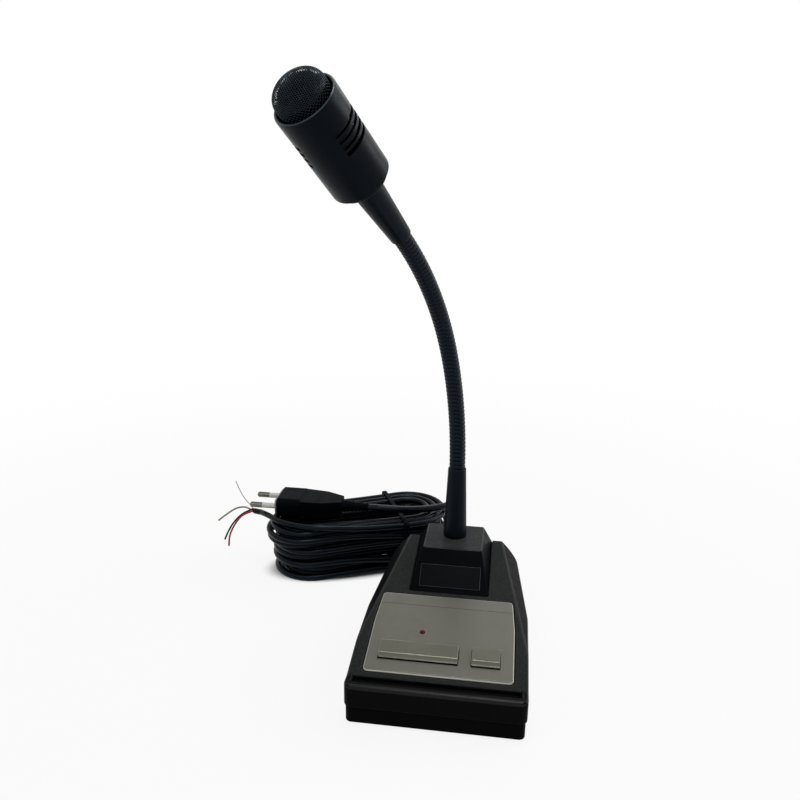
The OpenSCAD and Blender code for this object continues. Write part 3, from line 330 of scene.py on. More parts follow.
# Bare ends of the signal cord: place across and above its middle, diameter, finish and way
WIRES = {
    "red_conductor": (-0.8, -0.6, 1.3, "red",
        [(-159.5, 99, 34), (-163, 92, 29.5), (-164.5, 86, 24), (-164, 82, 18)]),
    "black_conductor": (0, 0.9, 1.3, "black",
        [(-160, 101, 34.5), (-165, 97, 29.5), (-168, 93, 24), (-170, 90, 18.5)]),
    "white_conductor": (0.8, -0.6, 1.3, "white",
        [(-159, 106, 38), (-166, 106, 36.5), (-172, 103, 33), (-178, 100, 28.5)]),
    "screen_strand": (1.2, 0.7, 0.6, "strand",
        [(-156, 108, 39.5), (-161, 111, 43), (-165, 113, 48), (-168, 113.5, 55)]),
}
CONDUCTOR_D = 1.3
ROUTE_STEPS = 6
WIRE_STEPS = 8
# Vertices round each cord
MAINS_COLUMNS = 14
SIGNAL_COLUMNS = 12
WIRE_COLUMNS = 10


def hank_place(turn, step, loops, low, rise):
    """Place on a hank after so many turns: runs joined by half rounds, a layer up at each reversal."""
    layer = min(floor(turn / loops), HANK_LAYERS - 1)
    turned = turn - layer * loops
    radius = HANK_R - step * (turned if layer % 2 == 0 else loops - turned)
    quarter = 4 * (turn - floor(turn))
    along = quarter - floor(quarter)
    if quarter < 1:
        x, y = HANK_RUN * (1 - 2 * along), -radius
    elif quarter < 2:
        x, y = -HANK_RUN - radius * sin(pi * along), -radius * cos(pi * along)
    elif quarter < 3:
        x, y = HANK_RUN * (2 * along - 1), radius
    else:
        x, y = HANK_RUN + radius * sin(pi * along), radius * cos(pi * along)
    y *= 1 - HANK_PINCH * cos(pi / 2 * x / (HANK_RUN + HANK_R)) ** 2
    climbed = layer
    if layer and turned < CLIMB_SHARE:
        eased = turned / CLIMB_SHARE
        climbed = layer - 1 + eased * eased * (3 - 2 * eased)
    height = low + climbed * rise
    leftward = max(0, -x) / (HANK_RUN + HANK_R)
    x -= HANK_LEAN * (height - HANK_TOP / 2) + HANK_RAGGED * leftward * sin(2 * pi * height / HANK_WAVE)
    place = (x * cos(HANK_ANGLE) - y * sin(HANK_ANGLE), x * sin(HANK_ANGLE) + y * cos(HANK_ANGLE))
    return mm(HANK_X + place[0], HANK_Y + place[1], height)


def hank_path(turns, step, loops, low, rise):
    """Points along a whole hank."""
    count = round(turns * LOOP_POINTS)
    path = []
    for index in range(count + 1):
        point = hank_place(index / LOOP_POINTS, step, loops, low, rise)
        held = min(index, count - index, LOOP_POINTS) / LOOP_POINTS
        sway = held * SWAY * sin(index * SWAY_BEATS[0]) * sin(index * SWAY_BEATS[1] + 1)
        lift = held * LIFT * sin(index * LIFT_BEATS[0] + 2) * sin(index * LIFT_BEATS[1])
        path.append(point + mm(-sway * sin(HANK_ANGLE), sway * cos(HANK_ANGLE), lift))
    return path


def straight(start, way, diameter):
    """Three points along a straight way, a diameter apart."""
    return [start + way.normalized() * diameter * MM * step for step in range(3)]


def cord_path(out_x, diameter, lead_route, hank, tail_route, end, end_way):
    """Path from the strain relief through the hank to the cord's end, straight at each of them."""
    lead = straight(mm(out_x, REAR_Y + RELIEF_L, RELIEF_Z), Vector((0, 1, 0)), diameter)
    lead += [mm(*point) for point in lead_route]
    lead += straight(hank[0], hank[0] - hank[1], diameter)[::-1]
    tail = straight(hank[-1], hank[-1] - hank[-2], diameter)
    tail += [mm(*point) for point in tail_route]
    tail += straight(end, -end_way, diameter)[::-1]
    return smooth_path(lead, ROUTE_STEPS)[:-1] + hank + smooth_path(tail, ROUTE_STEPS)[1:]


def add_cords():
    """Mains cord, signal cord and the signal cord's bare ends, on the base's body."""
    mains_turns = MAINS_LOOPS * HANK_LAYERS - MAINS_SHORT
    signal_turns = SIGNAL_LOOPS * HANK_LAYERS
    mains_hank = hank_path(mains_turns, MAINS_STEP, MAINS_LOOPS, MAINS_Z, MAINS_RISE)
    signal_hank = hank_path(signal_turns, SIGNAL_STEP, SIGNAL_LOOPS, SIGNAL_Z, SIGNAL_RISE)
    plug_end = mm(PLUG_AT[0] + PLUG_BACK, PLUG_AT[1], PLUG_AT[2])
    mains_path = cord_path(MAINS_OUT_X, MAINS_D, MAINS_LEAD_ROUTE, mains_hank, MAINS_TAIL_ROUTE, plug_end,
                           Vector((-1, 0, 0)))
    signal_path = cord_path(SIGNAL_OUT_X, SIGNAL_D, SIGNAL_LEAD_ROUTE, signal_hank, SIGNAL_TAIL_ROUTE,
                            SIGNAL_END, SIGNAL_WAY)
    mains = swept("mains_cord", mains_path, MAINS_WIDE * MM, MAINS_TALL * MM, MAINS_COLUMNS, MAINS_ROLL)
    signal = swept("signal_cord", signal_path, SIGNAL_WIDE * MM, SIGNAL_WIDE * MM, SIGNAL_COLUMNS)
    cords = {}
    for piece, path, diameter, nodes in (
        (mains, mains_path, MAINS_D, ("mains_lead", "mains_hank", "mains_tail")),
        (signal, signal_path, SIGNAL_D, ("signal_lead", "signal_hank", "signal_tail")),
    ):
        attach(piece, "base")
        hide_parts(*nodes)
        cords[piece.name] = (piece, path, diameter)
    side = SIGNAL_WAY.cross(Vector((0, 0, 1))).normalized()
    for name, (across, above, diameter, _, route) in WIRES.items():
        start = SIGNAL_END + (across * side + above * side.cross(SIGNAL_WAY)) * MM
        points = straight(start, SIGNAL_WAY, CONDUCTOR_D) + [mm(*point) for point in route]
        path = smooth_path(points, WIRE_STEPS)
        wire = swept(name + "_finished", path, diameter * MM, diameter * MM, WIRE_COLUMNS)
        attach(wire, "base")
        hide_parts(name)
        cords[name] = (wire, path, diameter)
    return cords


# Neck
NECK_Y = 54.3
SLEEVE_TOP = 100.76
LOWER_ARC = 75
LOWER_LEAN = radians(18.6)
UPPER_ARC = 89.5
HEAD_LEAN = radians(47.8)
BEND_TURN = radians(30)
HOSE_D = 10.1
HOSE_SEAT = 12
RIB_PITCH = 8 / 3
RIB_DEPTH = 0.5
RIB_CROWN = 0.16
GROOVE_SHARE = 0.11
RIB_ROWS = 10
HOSE_COLUMNS = 36
NECK_L = LOWER_ARC + UPPER_ARC
PART_L = (NECK_L + 2 * HOSE_SEAT) / 4
# Share of a length that reaches to each side of a joint
BEND_SHARE = 0.46
BEND_SIDE = Vector((cos(BEND_TURN), -sin(BEND_TURN), 0))


def neck_lean(along):
    """Lean of the neck at a length along it."""
    if along < LOWER_ARC:
        return LOWER_LEAN * max(along, 0) / LOWER_ARC
    return LOWER_LEAN + (HEAD_LEAN - LOWER_LEAN) * min(along - LOWER_ARC, UPPER_ARC) / UPPER_ARC


def neck_point(along):
    """Place on the neck's middle line at a length along it."""
    lower_r = LOWER_ARC / LOWER_LEAN
    upper_r = UPPER_ARC / (HEAD_LEAN - LOWER_LEAN)
    lean = neck_lean(along)
    if along < 0:
        ahead, rise = 0, along
    elif along < LOWER_ARC:
        ahead, rise = lower_r * (1 - cos(lean)), lower_r * sin(lean)
    else:
        ahead = lower_r * (1 - cos(LOWER_LEAN)) + upper_r * (cos(LOWER_LEAN) - cos(lean))
        rise = lower_r * sin(LOWER_LEAN) + upper_r * (sin(lean) - sin(LOWER_LEAN))
    past = max(along - NECK_L, 0)
    ahead += past * sin(lean)
    rise += past * cos(lean)
    return mm(-sin(BEND_TURN) * ahead, NECK_Y - cos(BEND_TURN) * ahead, SLEEVE_TOP + rise)


def hose_piece(name, start, end):
    """Length of hose wound from a ribbed strip, so that its grooves run round as one thread."""
    rows = round((end - start) / RIB_PITCH * RIB_ROWS)

    def place(column, row):
        along = start + (end - start) * row / rows
        lean = neck_lean(along)
        ahead = Vector((-sin(BEND_TURN) * cos(lean), -cos(BEND_TURN) * cos(lean), -sin(lean)))
        turn = column / HOSE_COLUMNS
        phase = (along / RIB_PITCH - turn) % 1
        from_groove = min(phase, 1 - phase)
        groove = RIB_DEPTH * exp(-(from_groove / GROOVE_SHARE) ** 2)
        radius = HOSE_D / 2 - groove - RIB_CROWN * (2 * abs(phase - 0.5)) ** 2
        angle = 2 * pi * turn
        return neck_point(along) + (BEND_SIDE * cos(angle) + ahead * sin(angle)) * radius * MM

    bm = grid_mesh(HOSE_COLUMNS, rows, place)
    close_ends(bm)
    return finish_piece(name, bm, 70)


def add_neck():
    """Three lengths of hose, each running across one of the neck's joints."""
    # The hose is cut halfway between joints
    cuts = [-HOSE_SEAT, PART_L * 1.5 - HOSE_SEAT, PART_L * 2.5 - HOSE_SEAT, NECK_L + HOSE_SEAT]
    joints = ["neck_lower_bend", "neck_side_bend", "neck_upper_bend"]
    reach = BEND_SHARE * PART_L
    hoses = []
    for index, name in enumerate(joints):
        hose = hose_piece("hose_length_%d" % (index + 1), cuts[index], cuts[index + 1])
        pivot = PART_L * (index + 1) - HOSE_SEAT
        neck_point(pivot - reach)
        neck_point(pivot + reach)
        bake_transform(hose)
        hoses.append(hose)
    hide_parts("neck_hose_1", "neck_hose_2")
    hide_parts("neck_hose_3")
    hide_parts("neck_hose_4")
    return hoses


# Head
CONE_L = 40
COLLAR_T = 2.3
BARREL_L = 51.5
RIM_Z = CONE_L + COLLAR_T + BARREL_L
GRILLE_R = 13
GRILLE_LIFT = 3
GRILLE_RISE = 8.6
GRILLE_SINK = 6
MESH_WIRE = 0.34
SKIRT_SHARE = 0.45
LINER_R = 10.8
LIP_R = 14.95
LIP_T = 0.6
LIP_SUNK = 0.5
LIP_COLUMNS = 96
LIP_ROWS = 12


def head_frame():
    """Matrix from the head's own axis to the part's frame."""
    turn = Matrix.Rotation(-BEND_TURN, 4, "Z") @ Matrix.Rotation(HEAD_LEAN, 4, "X")
    return Matrix.Translation(neck_point(NECK_L)) @ turn


def dome_frame():
    """Matrix from the middle of the dome's foot to the part's frame."""
    return head_frame() @ Matrix.Translation(mm(0, 0, RIM_Z + GRILLE_LIFT))


def add_grille():
    """Open mesh drawn into a dome with a straight skirt, with a wire hoop at its foot."""
    bm = bmesh.new()
    bmesh.ops.create_icosphere(bm, subdivisions=4, radius=GRILLE_R * MM)
    # Cutting off a third of each edge at both its ends makes hexagons of the triangles
    bmesh.ops.bevel(bm, geom=bm.verts, offset=100 / 3, offset_type="PERCENT", affect="VERTICES", segments=1,
                    profile=0.5, material=-1)
    lower = [v for v in bm.verts if v.co.z < -SKIRT_SHARE * GRILLE_R * MM]
    bmesh.ops.delete(bm, geom=lower, context="VERTS")
    for vert in bm.verts:
        if vert.co.z < 0:
            out = Vector((vert.co.x, vert.co.y, 0)).normalized() * GRILLE_R * MM
            drop = (GRILLE_SINK + GRILLE_LIFT) / (SKIRT_SHARE * GRILLE_R)
            vert.co = Vector((out.x, out.y, vert.co.z * drop))
        else:
            vert.co = vert.co.normalized() * GRILLE_R * MM
            vert.co.z *= GRILLE_RISE / GRILLE_R
    bmesh.ops.wireframe(bm, faces=bm.faces, thickness=MESH_WIRE * MM, offset=0, use_replace=True,
                        use_boundary=True, use_even_offset=True)
    bmesh.ops.transform(bm, matrix=dome_frame(), verts=bm.verts)
    grille = finish_piece("mesh_dome", bm, 30)
    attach(grille, "head")
    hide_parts("head_grille")
    return grille


def add_lip():
    """Rolled lip round the barrel's mouth."""

    def place(column, row):
        turn = 2 * pi * column / LIP_COLUMNS
        angle = 2 * pi * row / LIP_ROWS
        radius = LIP_R + LIP_T * cos(angle)
        return mm(radius * cos(turn), radius * sin(turn), RIM_Z - LIP_SUNK + LIP_T * sin(angle))

    bm = grid_mesh(LIP_COLUMNS, LIP_ROWS, place)
    bmesh.ops.recalc_face_normals(bm, faces=bm.faces)
    bmesh.ops.transform(bm, matrix=head_frame(), verts=bm.verts)
    lip = finish_piece("rim_lip", bm, 60)
    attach(lip, "head")
    return lip


def add_liner():
    """Dark foam that lines the dome and stops light through all but its edge."""
    bm = bmesh.new()
    bmesh.ops.create_uvsphere(bm, u_segments=48, v_segments=32, radius=LINER_R * MM)
    for vert in bm.verts:
        if vert.co.z < 0:
            out = Vector((vert.co.x, vert.co.y, 0)).normalized() * LINER_R * MM
            vert.co = Vector((out.x, out.y, max(vert.co.z, -(GRILLE_SINK + GRILLE_LIFT) * MM)))
        else:
            vert.co.z *= GRILLE_RISE / GRILLE_R
    bmesh.ops.remove_doubles(bm, verts=bm.verts, dist=LINER_MERGE * MM)
    bmesh.ops.transform(bm, matrix=dome_frame(), verts=bm.verts)
    liner = finish_piece("foam_liner", bm, 40)
    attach(liner, "head")
    return liner


# Materials
def node_of(tree, kind, **values):
    """New shader node, with its properties or inputs set by name."""
    node = tree.nodes.new(kind)
    for name, value in values.items():
        if name in node.bl_rna.properties:
            setattr(node, name, value)
        else:
            node.inputs[name.replace("_", " ")].default_value = value
    return node


def ramp(tree, low, high, start=0.0, end=1.0):
    """Node that goes smoothly from start to end as its value goes from low to high."""
    return node_of(tree, "ShaderNodeMapRange", interpolation_type="SMOOTHSTEP", From_Min=low, From_Max=high,
                   To_Min=start, To_Max=end)


# Streaks are this many times finer than stains, and smudge where their noise is between these
STREAK_RATE = 3.7
SMUDGE_FROM = 0.42
SMUDGE_TO = 0.68


def surface_group():
    """Node group for handled surfaces: fine grain, a slow stain for colour and a smudge for roughness."""
    group = bpy.data.node_groups.new("handled_surface", "ShaderNodeTree")
    for name, value in (("Grain Scale", 2600), ("Stain Scale", 60)):
        socket = group.interface.new_socket(name=name, in_out="INPUT", socket_type="NodeSocketFloat")
        socket.default_value = value
    for name in ("Grain", "Stain", "Smudge"):
        group.interface.new_socket(name=name, in_out="OUTPUT", socket_type="NodeSocketFloat")
    source = node_of(group, "NodeGroupInput")
    sink = node_of(group, "NodeGroupOutput")
    place = node_of(group, "ShaderNodeTexCoord")
    grain = node_of(group, "ShaderNodeTexNoise", Detail=3.0, Roughness=0.6)
    stain = node_of(group, "ShaderNodeTexNoise", Detail=6.0, Roughness=0.62)
    streak = node_of(group, "ShaderNodeTexNoise", Detail=8.0, Roughness=0.7, Distortion=1.2)
    faster = node_of(group, "ShaderNodeMath", operation="MULTIPLY")
    faster.inputs[1].default_value = STREAK_RATE
    smudge = ramp(group, SMUDGE_FROM, SMUDGE_TO)
    link = group.links.new
    for noise in (grain, stain, streak):
        link(place.outputs["Object"], noise.inputs["Vector"])
    link(source.outputs["Grain Scale"], grain.inputs["Scale"])
    link(source.outputs["Stain Scale"], stain.inputs["Scale"])
    link(source.outputs["Stain Scale"], faster.inputs[0])
    link(faster.outputs[0], streak.inputs["Scale"])
    link(streak.outputs["Fac"], smudge.inputs["Value"])
    link(grain.outputs["Fac"], sink.inputs["Grain"])
    link(stain.outputs["Fac"], sink.inputs["Stain"])
    link(smudge.outputs["Result"], sink.inputs["Smudge"])
    return group


# The film fades in between these, from none on the front rail to full behind it
FILM_NONE_TO = -61
FILM_FULL_FROM = -58
# How far up a face looks for the film to begin and to be full
TOP_FILM_SLOPE = 0.86
TOP_FILM_LEVEL = 0.99


def dust_and_toplight_group():
    """Node group that puts out a thin, broken film on what faces up, behind the front rail: dust, and paler
    tops as painted light from above.
    """
    group = bpy.data.node_groups.new("settled_dust_and_painted_toplight", "ShaderNodeTree")
    group.interface.new_socket(name="Dust And Toplight", in_out="OUTPUT", socket_type="NodeSocketFloat")
    sink = node_of(group, "NodeGroupOutput")
    place = node_of(group, "ShaderNodeTexCoord")
    geometry = node_of(group, "ShaderNodeNewGeometry")
    split = node_of(group, "ShaderNodeSeparateXYZ")
    # Faces that look up get the film: dust, and lighter as painted light from above
    upward = ramp(group, TOP_FILM_SLOPE, TOP_FILM_LEVEL)
    specks = node_of(group, "ShaderNodeTexNoise", Scale=900.0, Detail=6.0, Roughness=0.75)
    broken = node_of(group, "ShaderNodeMapRange", From_Min=0.2, From_Max=0.8)
    both = node_of(group, "ShaderNodeMath", operation="MULTIPLY")
    spot = node_of(group, "ShaderNodeSeparateXYZ")
    behind = ramp(group, FILM_NONE_TO * MM, FILM_FULL_FROM * MM)
    kept = node_of(group, "ShaderNodeMath", operation="MULTIPLY")
    link = group.links.new
    link(place.outputs["Object"], spot.inputs[0])
    link(spot.outputs["Y"], behind.inputs["Value"])
    link(geometry.outputs["Normal"], split.inputs[0])
    link(split.outputs["Z"], upward.inputs["Value"])
    link(place.outputs["Object"], specks.inputs["Vector"])
    link(specks.outputs["Fac"], broken.inputs["Value"])
    link(upward.outputs["Result"], both.inputs[0])
    link(broken.outputs["Result"], both.inputs[1])
    link(both.outputs[0], kept.inputs[0])
    link(behind.outputs["Result"], kept.inputs[1])
    link(kept.outputs[0], sink.inputs["Dust And Toplight"])
    return group


# Deck, the ruled line on the fascia, and the painted shade on the keys' skirts
DECK_ANGLE = radians(9.1)
DECK_FRONT = (-59.5, 24.1)
LINE_FROM = 59.1
LINE_W = 0.4
LINE_T = 0.02
LINE_LIFT = 0.015
LINE_HALF_L = 38.6
PANEL_PROUD = 0.6
# Heights over the deck below which a key's skirt turns dark, as painted shade in its gap
SKIRT_FROM = 1.4
SKIRT_TO = 1.55


def deck_point(x, along, above):
    """Place over the deck: across, along from its front edge, and above it."""
    return mm(x, DECK_FRONT[0] + along * cos(DECK_ANGLE) - above * sin(DECK_ANGLE),
              DECK_FRONT[1] + along * sin(DECK_ANGLE) + above * cos(DECK_ANGLE))


def skirt_shade_group():
    """Node group that puts out where a key is low enough over the deck to be painted dark, as the shade in
    the gap round it.
    """
    group = bpy.data.node_groups.new("painted_skirt_shade", "ShaderNodeTree")
    group.interface.new_socket(name="Skirt Shade", in_out="OUTPUT", socket_type="NodeSocketFloat")
    sink = node_of(group, "NodeGroupOutput")
    place = node_of(group, "ShaderNodeTexCoord")
    height = node_of(group, "ShaderNodeVectorMath", operation="DOT_PRODUCT")
    height.inputs[1].default_value = (0, -sin(DECK_ANGLE), cos(DECK_ANGLE))
    level = deck_point(0, 0, 0).dot(Vector(height.inputs[1].default_value))
    low = ramp(group, level + SKIRT_FROM * MM, level + SKIRT_TO * MM, start=1, end=0)
    link = group.links.new
    link(place.outputs["Object"], height.inputs[0])
    link(height.outputs["Value"], low.inputs["Value"])
    link(low.outputs["Result"], sink.inputs["Skirt Shade"])
    return group


GROUPS = {}
# Tint of the sheen on the blue-blacks, colour of the dust film that also paints light on the tops, colour of
# the painted shade on the keys' skirts, and depth of the grain
COOL_TINT = (0.6, 0.8, 1, 1)
DUST_AND_TOPLIGHT_COLOUR = (0.29, 0.31, 0.31, 1)
SKIRT_SHADE_COLOUR = (0.002, 0.002, 0.002, 1)
GRAIN_DEPTH = 0.1


def finish(name, colour, stained, rough, smudge=0.12, grain=0.1, scales=(2600, 60), dust_and_toplight=0.0, metal=0.0,
           shine=0.5, cool=False, skirt=False):
    """Material of a moulded, painted or metal surface, from its colour and the colour of its stains."""
    material = bpy.data.materials.new(name)
    material.use_nodes = True
    tree = material.node_tree
    link = tree.links.new
    shader = tree.nodes["Principled BSDF"]
    shader.inputs["Metallic"].default_value = metal
    shader.inputs["Specular IOR Level"].default_value = shine
    if cool:
        shader.inputs["Specular Tint"].default_value = COOL_TINT
    surface = node_of(tree, "ShaderNodeGroup", node_tree=GROUPS["surface"])
    surface.inputs["Grain Scale"].default_value = scales[0]
    surface.inputs["Stain Scale"].default_value = scales[1]
    mix = node_of(tree, "ShaderNodeMix", data_type="RGBA")
    mix.inputs["A"].default_value = (*colour, 1)
    mix.inputs["B"].default_value = (*stained, 1)
    link(surface.outputs["Stain"], mix.inputs["Factor"])
    colour_out = mix.outputs["Result"]
    # Film of dust on what faces up, which also lightens the tops as painted light from above
    if dust_and_toplight:
        film = node_of(tree, "ShaderNodeGroup", node_tree=GROUPS["dust_and_toplight"])
        share = node_of(tree, "ShaderNodeMath", operation="MULTIPLY")
        share.inputs[1].default_value = dust_and_toplight
        dust_and_toplit = node_of(tree, "ShaderNodeMix", data_type="RGBA")
        dust_and_toplit.inputs["B"].default_value = DUST_AND_TOPLIGHT_COLOUR
        link(film.outputs["Dust And Toplight"], share.inputs[0])
        link(share.outputs[0], dust_and_toplit.inputs["Factor"])
        link(colour_out, dust_and_toplit.inputs["A"])
        colour_out = dust_and_toplit.outputs["Result"]
    # Painted shade on a key's skirt, where it sits down in its gap
    if skirt:
        low = node_of(tree, "ShaderNodeGroup", node_tree=GROUPS["skirt"])
        skirt_shaded = node_of(tree, "ShaderNodeMix", data_type="RGBA")
        skirt_shaded.inputs["B"].default_value = SKIRT_SHADE_COLOUR
        link(low.outputs["Skirt Shade"], skirt_shaded.inputs["Factor"])
        link(colour_out, skirt_shaded.inputs["A"])
        colour_out = skirt_shaded.outputs["Result"]
    link(colour_out, shader.inputs["Base Color"])
    spread = node_of(tree, "ShaderNodeMapRange", To_Min=rough, To_Max=rough + smudge)
    link(surface.outputs["Smudge"], spread.inputs["Value"])
    link(spread.outputs["Result"], shader.inputs["Roughness"])
    bump = node_of(tree, "ShaderNodeBump", Strength=grain, Distance=GRAIN_DEPTH * MM)
    link(surface.outputs["Grain"], bump.inputs["Height"])
    link(bump.outputs["Normal"], shader.inputs["Normal"])
    return material


def tone(level, blue=1.0, warm=1.0):
    """Grey of a level, a little warmer or bluer."""
    return (level * warm, level, level * blue)


def make_materials():
    """Every finish on the object, by name."""
    GROUPS["surface"] = surface_group()
    GROUPS["dust_and_toplight"] = dust_and_toplight_group()
    GROUPS["skirt"] = skirt_shade_group()
    moulded = {"grain": 0.2, "scales": (1900, 35)}
    drawn = {"grain": 0.08, "scales": (2600, 120)}
    bare = {"grain": 0.06, "scales": (3000, 240)}
    return {
        # Case and neck block carry the dust film, which is also painted light on their tops
        "case": finish("case_black", tone(0.002, 1.1), tone(0.0032), 0.42, shine=0.022, dust_and_toplight=0.1,
                       **moulded),
        # Paler edges of the case and the neck block: worn, and a painted highlight where they face up
        "case_edge": finish("case_edge_worn_highlit", tone(0.006, 1.1), tone(0.011), 0.3, shine=0.1, **moulded),
        "case_low": finish("case_low_black", tone(0.0014), tone(0.0024), 0.42, shine=0.015, **moulded),
        "pedestal": finish("pedestal_black", tone(0.0009, 1.8, 0.7), tone(0.0016, 1.5, 0.8), 0.36,
                           shine=0.018, dust_and_toplight=0.2, **moulded),
        "plate": finish("plate_black", tone(0.0008, 2.4, 0.8), tone(0.0014, 2.2, 0.8), 0.34, shine=0.03,
                        grain=0.02),
        # Paler edge round the plate: worn, and a painted highlight line
        "plate_edge": finish("plate_edge_worn_highlit", tone(0.03, 1.2), tone(0.045, 1.1), 0.3, shine=0.2,
                             grain=0.02),
        "panel": finish("panel_silver", tone(0.108, 0.84, 1.01), tone(0.096, 0.82, 1.02), 0.36, metal=0.35,
                        shine=0.2, grain=0.12, scales=(4200, 30)),
        # Paler edges of the panel: worn bare, and a painted highlight
        "panel_edge": finish("panel_edge_bare_highlit", tone(0.34, 0.9, 1.01), tone(0.27, 0.88, 1.02), 0.3,
                             metal=0.4, shine=0.4, grain=0.1, scales=(4200, 80)),
        # Keys carry painted shade on their skirts, low in the gaps round them
        "key": finish("key_silver", tone(0.098, 0.78, 1.02), tone(0.08, 0.76, 1.03), 0.32, metal=0.35,
                      shine=0.2, grain=0.1, scales=(4200, 55), skirt=True),
        # Paler edges of the keys: worn bare, and a painted highlight
        "key_edge": finish("key_edge_bare_highlit", tone(0.2, 0.84, 1.02), tone(0.15, 0.82, 1.03), 0.28, metal=0.4,
                           shine=0.4, grain=0.08, scales=(4200, 80), skirt=True),
        "line": finish("line_black", tone(0.012), tone(0.02), 0.5),
        "lamp": finish("lamp_red", (0.09, 0.0015, 0.002), (0.05, 0.001, 0.0015), 0.16, shine=0.1),
        "hose": finish("hose_black", tone(0.0026, 2.2, 0.75), tone(0.0045, 1.8, 0.8), 0.3, shine=0.14,
                       cool=True, **drawn),
        "sleeve": finish("sleeve_black", tone(0.002, 2.2, 0.75), tone(0.0035, 1.8, 0.8), 0.34, shine=0.1,
                         cool=True, **moulded),
        "barrel": finish("barrel_black", tone(0.0008, 2.8, 0.7), tone(0.0014, 2.2, 0.75), 0.28, shine=0.08,
                         cool=True, **moulded),
        "grille": finish("grille_black", tone(0.004, 2, 0.8), tone(0.008, 1.6, 0.8), 0.34, shine=0.25,
                         cool=True, **drawn),
        "foam": finish("foam_black", tone(0.0015), tone(0.003), 0.95, 0.05, 1.0, (900, 200), shine=0.02),
        "rubber": finish("rubber_black", tone(0.003), tone(0.006), 0.5, shine=0.06, **moulded),
        "cord": finish("cord_black", tone(0.0011, 1.6, 0.8), tone(0.002, 1.4, 0.85), 0.17, shine=0.11,
                       cool=True, **drawn),
        "plug": finish("plug_black", tone(0.0012, 1.6, 0.8), tone(0.0024, 1.4, 0.85), 0.42, shine=0.02,
                       cool=True, **moulded),
        "lip": finish("lip_black", tone(0.0012, 2, 0.8), tone(0.002, 1.6, 0.8), 0.15, shine=0.5, cool=True,
                      **drawn),
        "pale": finish("pale_grey", tone(0.6, 0.91), tone(0.48, 0.88), 0.34, grain=0.06,
                       scales=(2400, 160)),
        "flange": finish("flange_grey", tone(0.2, 1.02), tone(0.14, 1.02), 0.4, grain=0.1,
                         scales=(2400, 120)),
        "nickel": finish("pin_nickel", tone(0.15, 0.9, 1.05), tone(0.06, 0.85, 1.08), 0.14, metal=1.0,
                         **bare),
        "steel": finish("screw_steel", tone(0.52), tone(0.39, 0.97, 1.03), 0.3, metal=1.0, **bare),
        "capsule": finish("capsule_metal", tone(0.012), tone(0.008), 0.4, metal=0.6, shine=0.1, **bare),
        "board": finish("board_green", (0.012, 0.075, 0.03), (0.018, 0.1, 0.038), 0.34, scales=(1500, 200)),
        "chip": finish("chip_black", tone(0.015), tone(0.025), 0.55, grain=0.2, scales=(2600, 200)),
        "can": finish("can_blue", (0.02, 0.025, 0.1), (0.03, 0.035, 0.13), 0.3, scales=(2000, 150)),
        "core": finish("core_iron", tone(0.09), (0.12, 0.1, 0.085), 0.5, grain=0.3, scales=(900, 150),
                       metal=0.7),
        "winding": finish("winding_copper", (0.45, 0.17, 0.06), (0.32, 0.12, 0.05), 0.32, grain=0.3,
                          scales=(1200, 200), metal=0.8),
        "red": finish("wire_red", (0.36, 0.012, 0.01), (0.28, 0.009, 0.008), 0.36, shine=0.3, **drawn),
        "white": finish("wire_pale", (0.3, 0.27, 0.2), (0.22, 0.19, 0.13), 0.4, shine=0.3, **drawn),
        "black": finish("wire_black", tone(0.005), tone(0.009), 0.34, shine=0.15, **drawn),
        "strand": finish("strand_copper", (0.2, 0.17, 0.14), (0.14, 0.11, 0.09), 0.35, metal=0.8, **bare),
    }


def paint(piece, *finishes):
    """Gives a piece other materials in place of those that it has."""
    if piece.data.materials:
        piece.data.materials.clear()
    for material in finishes:
        piece.data.materials.append(material)


# Softened copies of the nodes that show: node, edge radius in millimetres, finish
SOFT_EDGES = [
    ("top_cover", 0.9, "case"), ("bottom_cover", 0.8, "case_low"), ("neck_pedestal", 0.6, "pedestal"),
    ("name_plate", 0.25, "plate"), ("fascia_panel", 0.58, "panel"), ("chime_key", 0.3, "key"),
    ("talk_key", 0.2, "key"), ("neck_base_sleeve", 0.3, "sleeve"), ("neck_head_sleeve", 0.3, "sleeve"),
    ("head_collar", 0.4, "barrel"), ("head_barrel", 0.2, "barrel"), ("mains_relief", 0.2, "rubber"),
    ("signal_relief", 0.2, "rubber"), ("plug_body", 0.6, "plug"), ("plug_face", 0.3, "flange"),
    ("plug_pins", 0.2, "nickel"), ("pin_sleeves", 0.15, "pale"), ("rubber_feet", 0.3, "rubber"),
    ("hank_tie", 0.2, "plug"),
]
# Finish of the rounded edges: worn paler than the face, and lighter still as a painted highlight
WORN_AND_HIGHLIT_EDGES = {"case": "case_edge", "pedestal": "case_edge", "plate": "plate_edge", "panel": "panel_edge",
              "key": "key_edge"}
# Nodes that keep their own shape, mostly inside the case, by finish
KEPT = {
    "lamp": ["status_led"],
    "pale": ["chime_plunger", "talk_plunger", "terminal_block"],
    "chip": ["chime_switch", "talk_switch", "chime_chip"],
    "board": ["circuit_board"],
    "steel": ["board_screws", "cover_screws", "pedestal_screws", "neck_ferrule", "neck_nut"],
    "can": ["capacitors"],
    "core": ["transformer_core"],
    "winding": ["transformer_winding"],
    "capsule": ["mic_capsule"],
    "rubber": ["capsule_rings"],
}


def add_line():
    """Thin printed line across the fascia, a hair above it."""
    bm = bmesh.new()
    size = Matrix.Diagonal((2 * LINE_HALF_L * MM, LINE_W * MM, LINE_T * MM, 1))
    place = Matrix.Translation(deck_point(0, LINE_FROM, PANEL_PROUD + LINE_LIFT))
    turn = place @ Matrix.Rotation(DECK_ANGLE, 4, "X")
    bmesh.ops.create_cube(bm, size=1, matrix=turn @ size)
    line = finish_piece("fascia_line", bm)
    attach(line, "base")
    return line


# Floor and light, in metres
FLOOR_HALF = 6
FLOOR_GREY = 0.7
FLOOR_ROUGH = 0.9
FLOOR_SHINE = 0.1
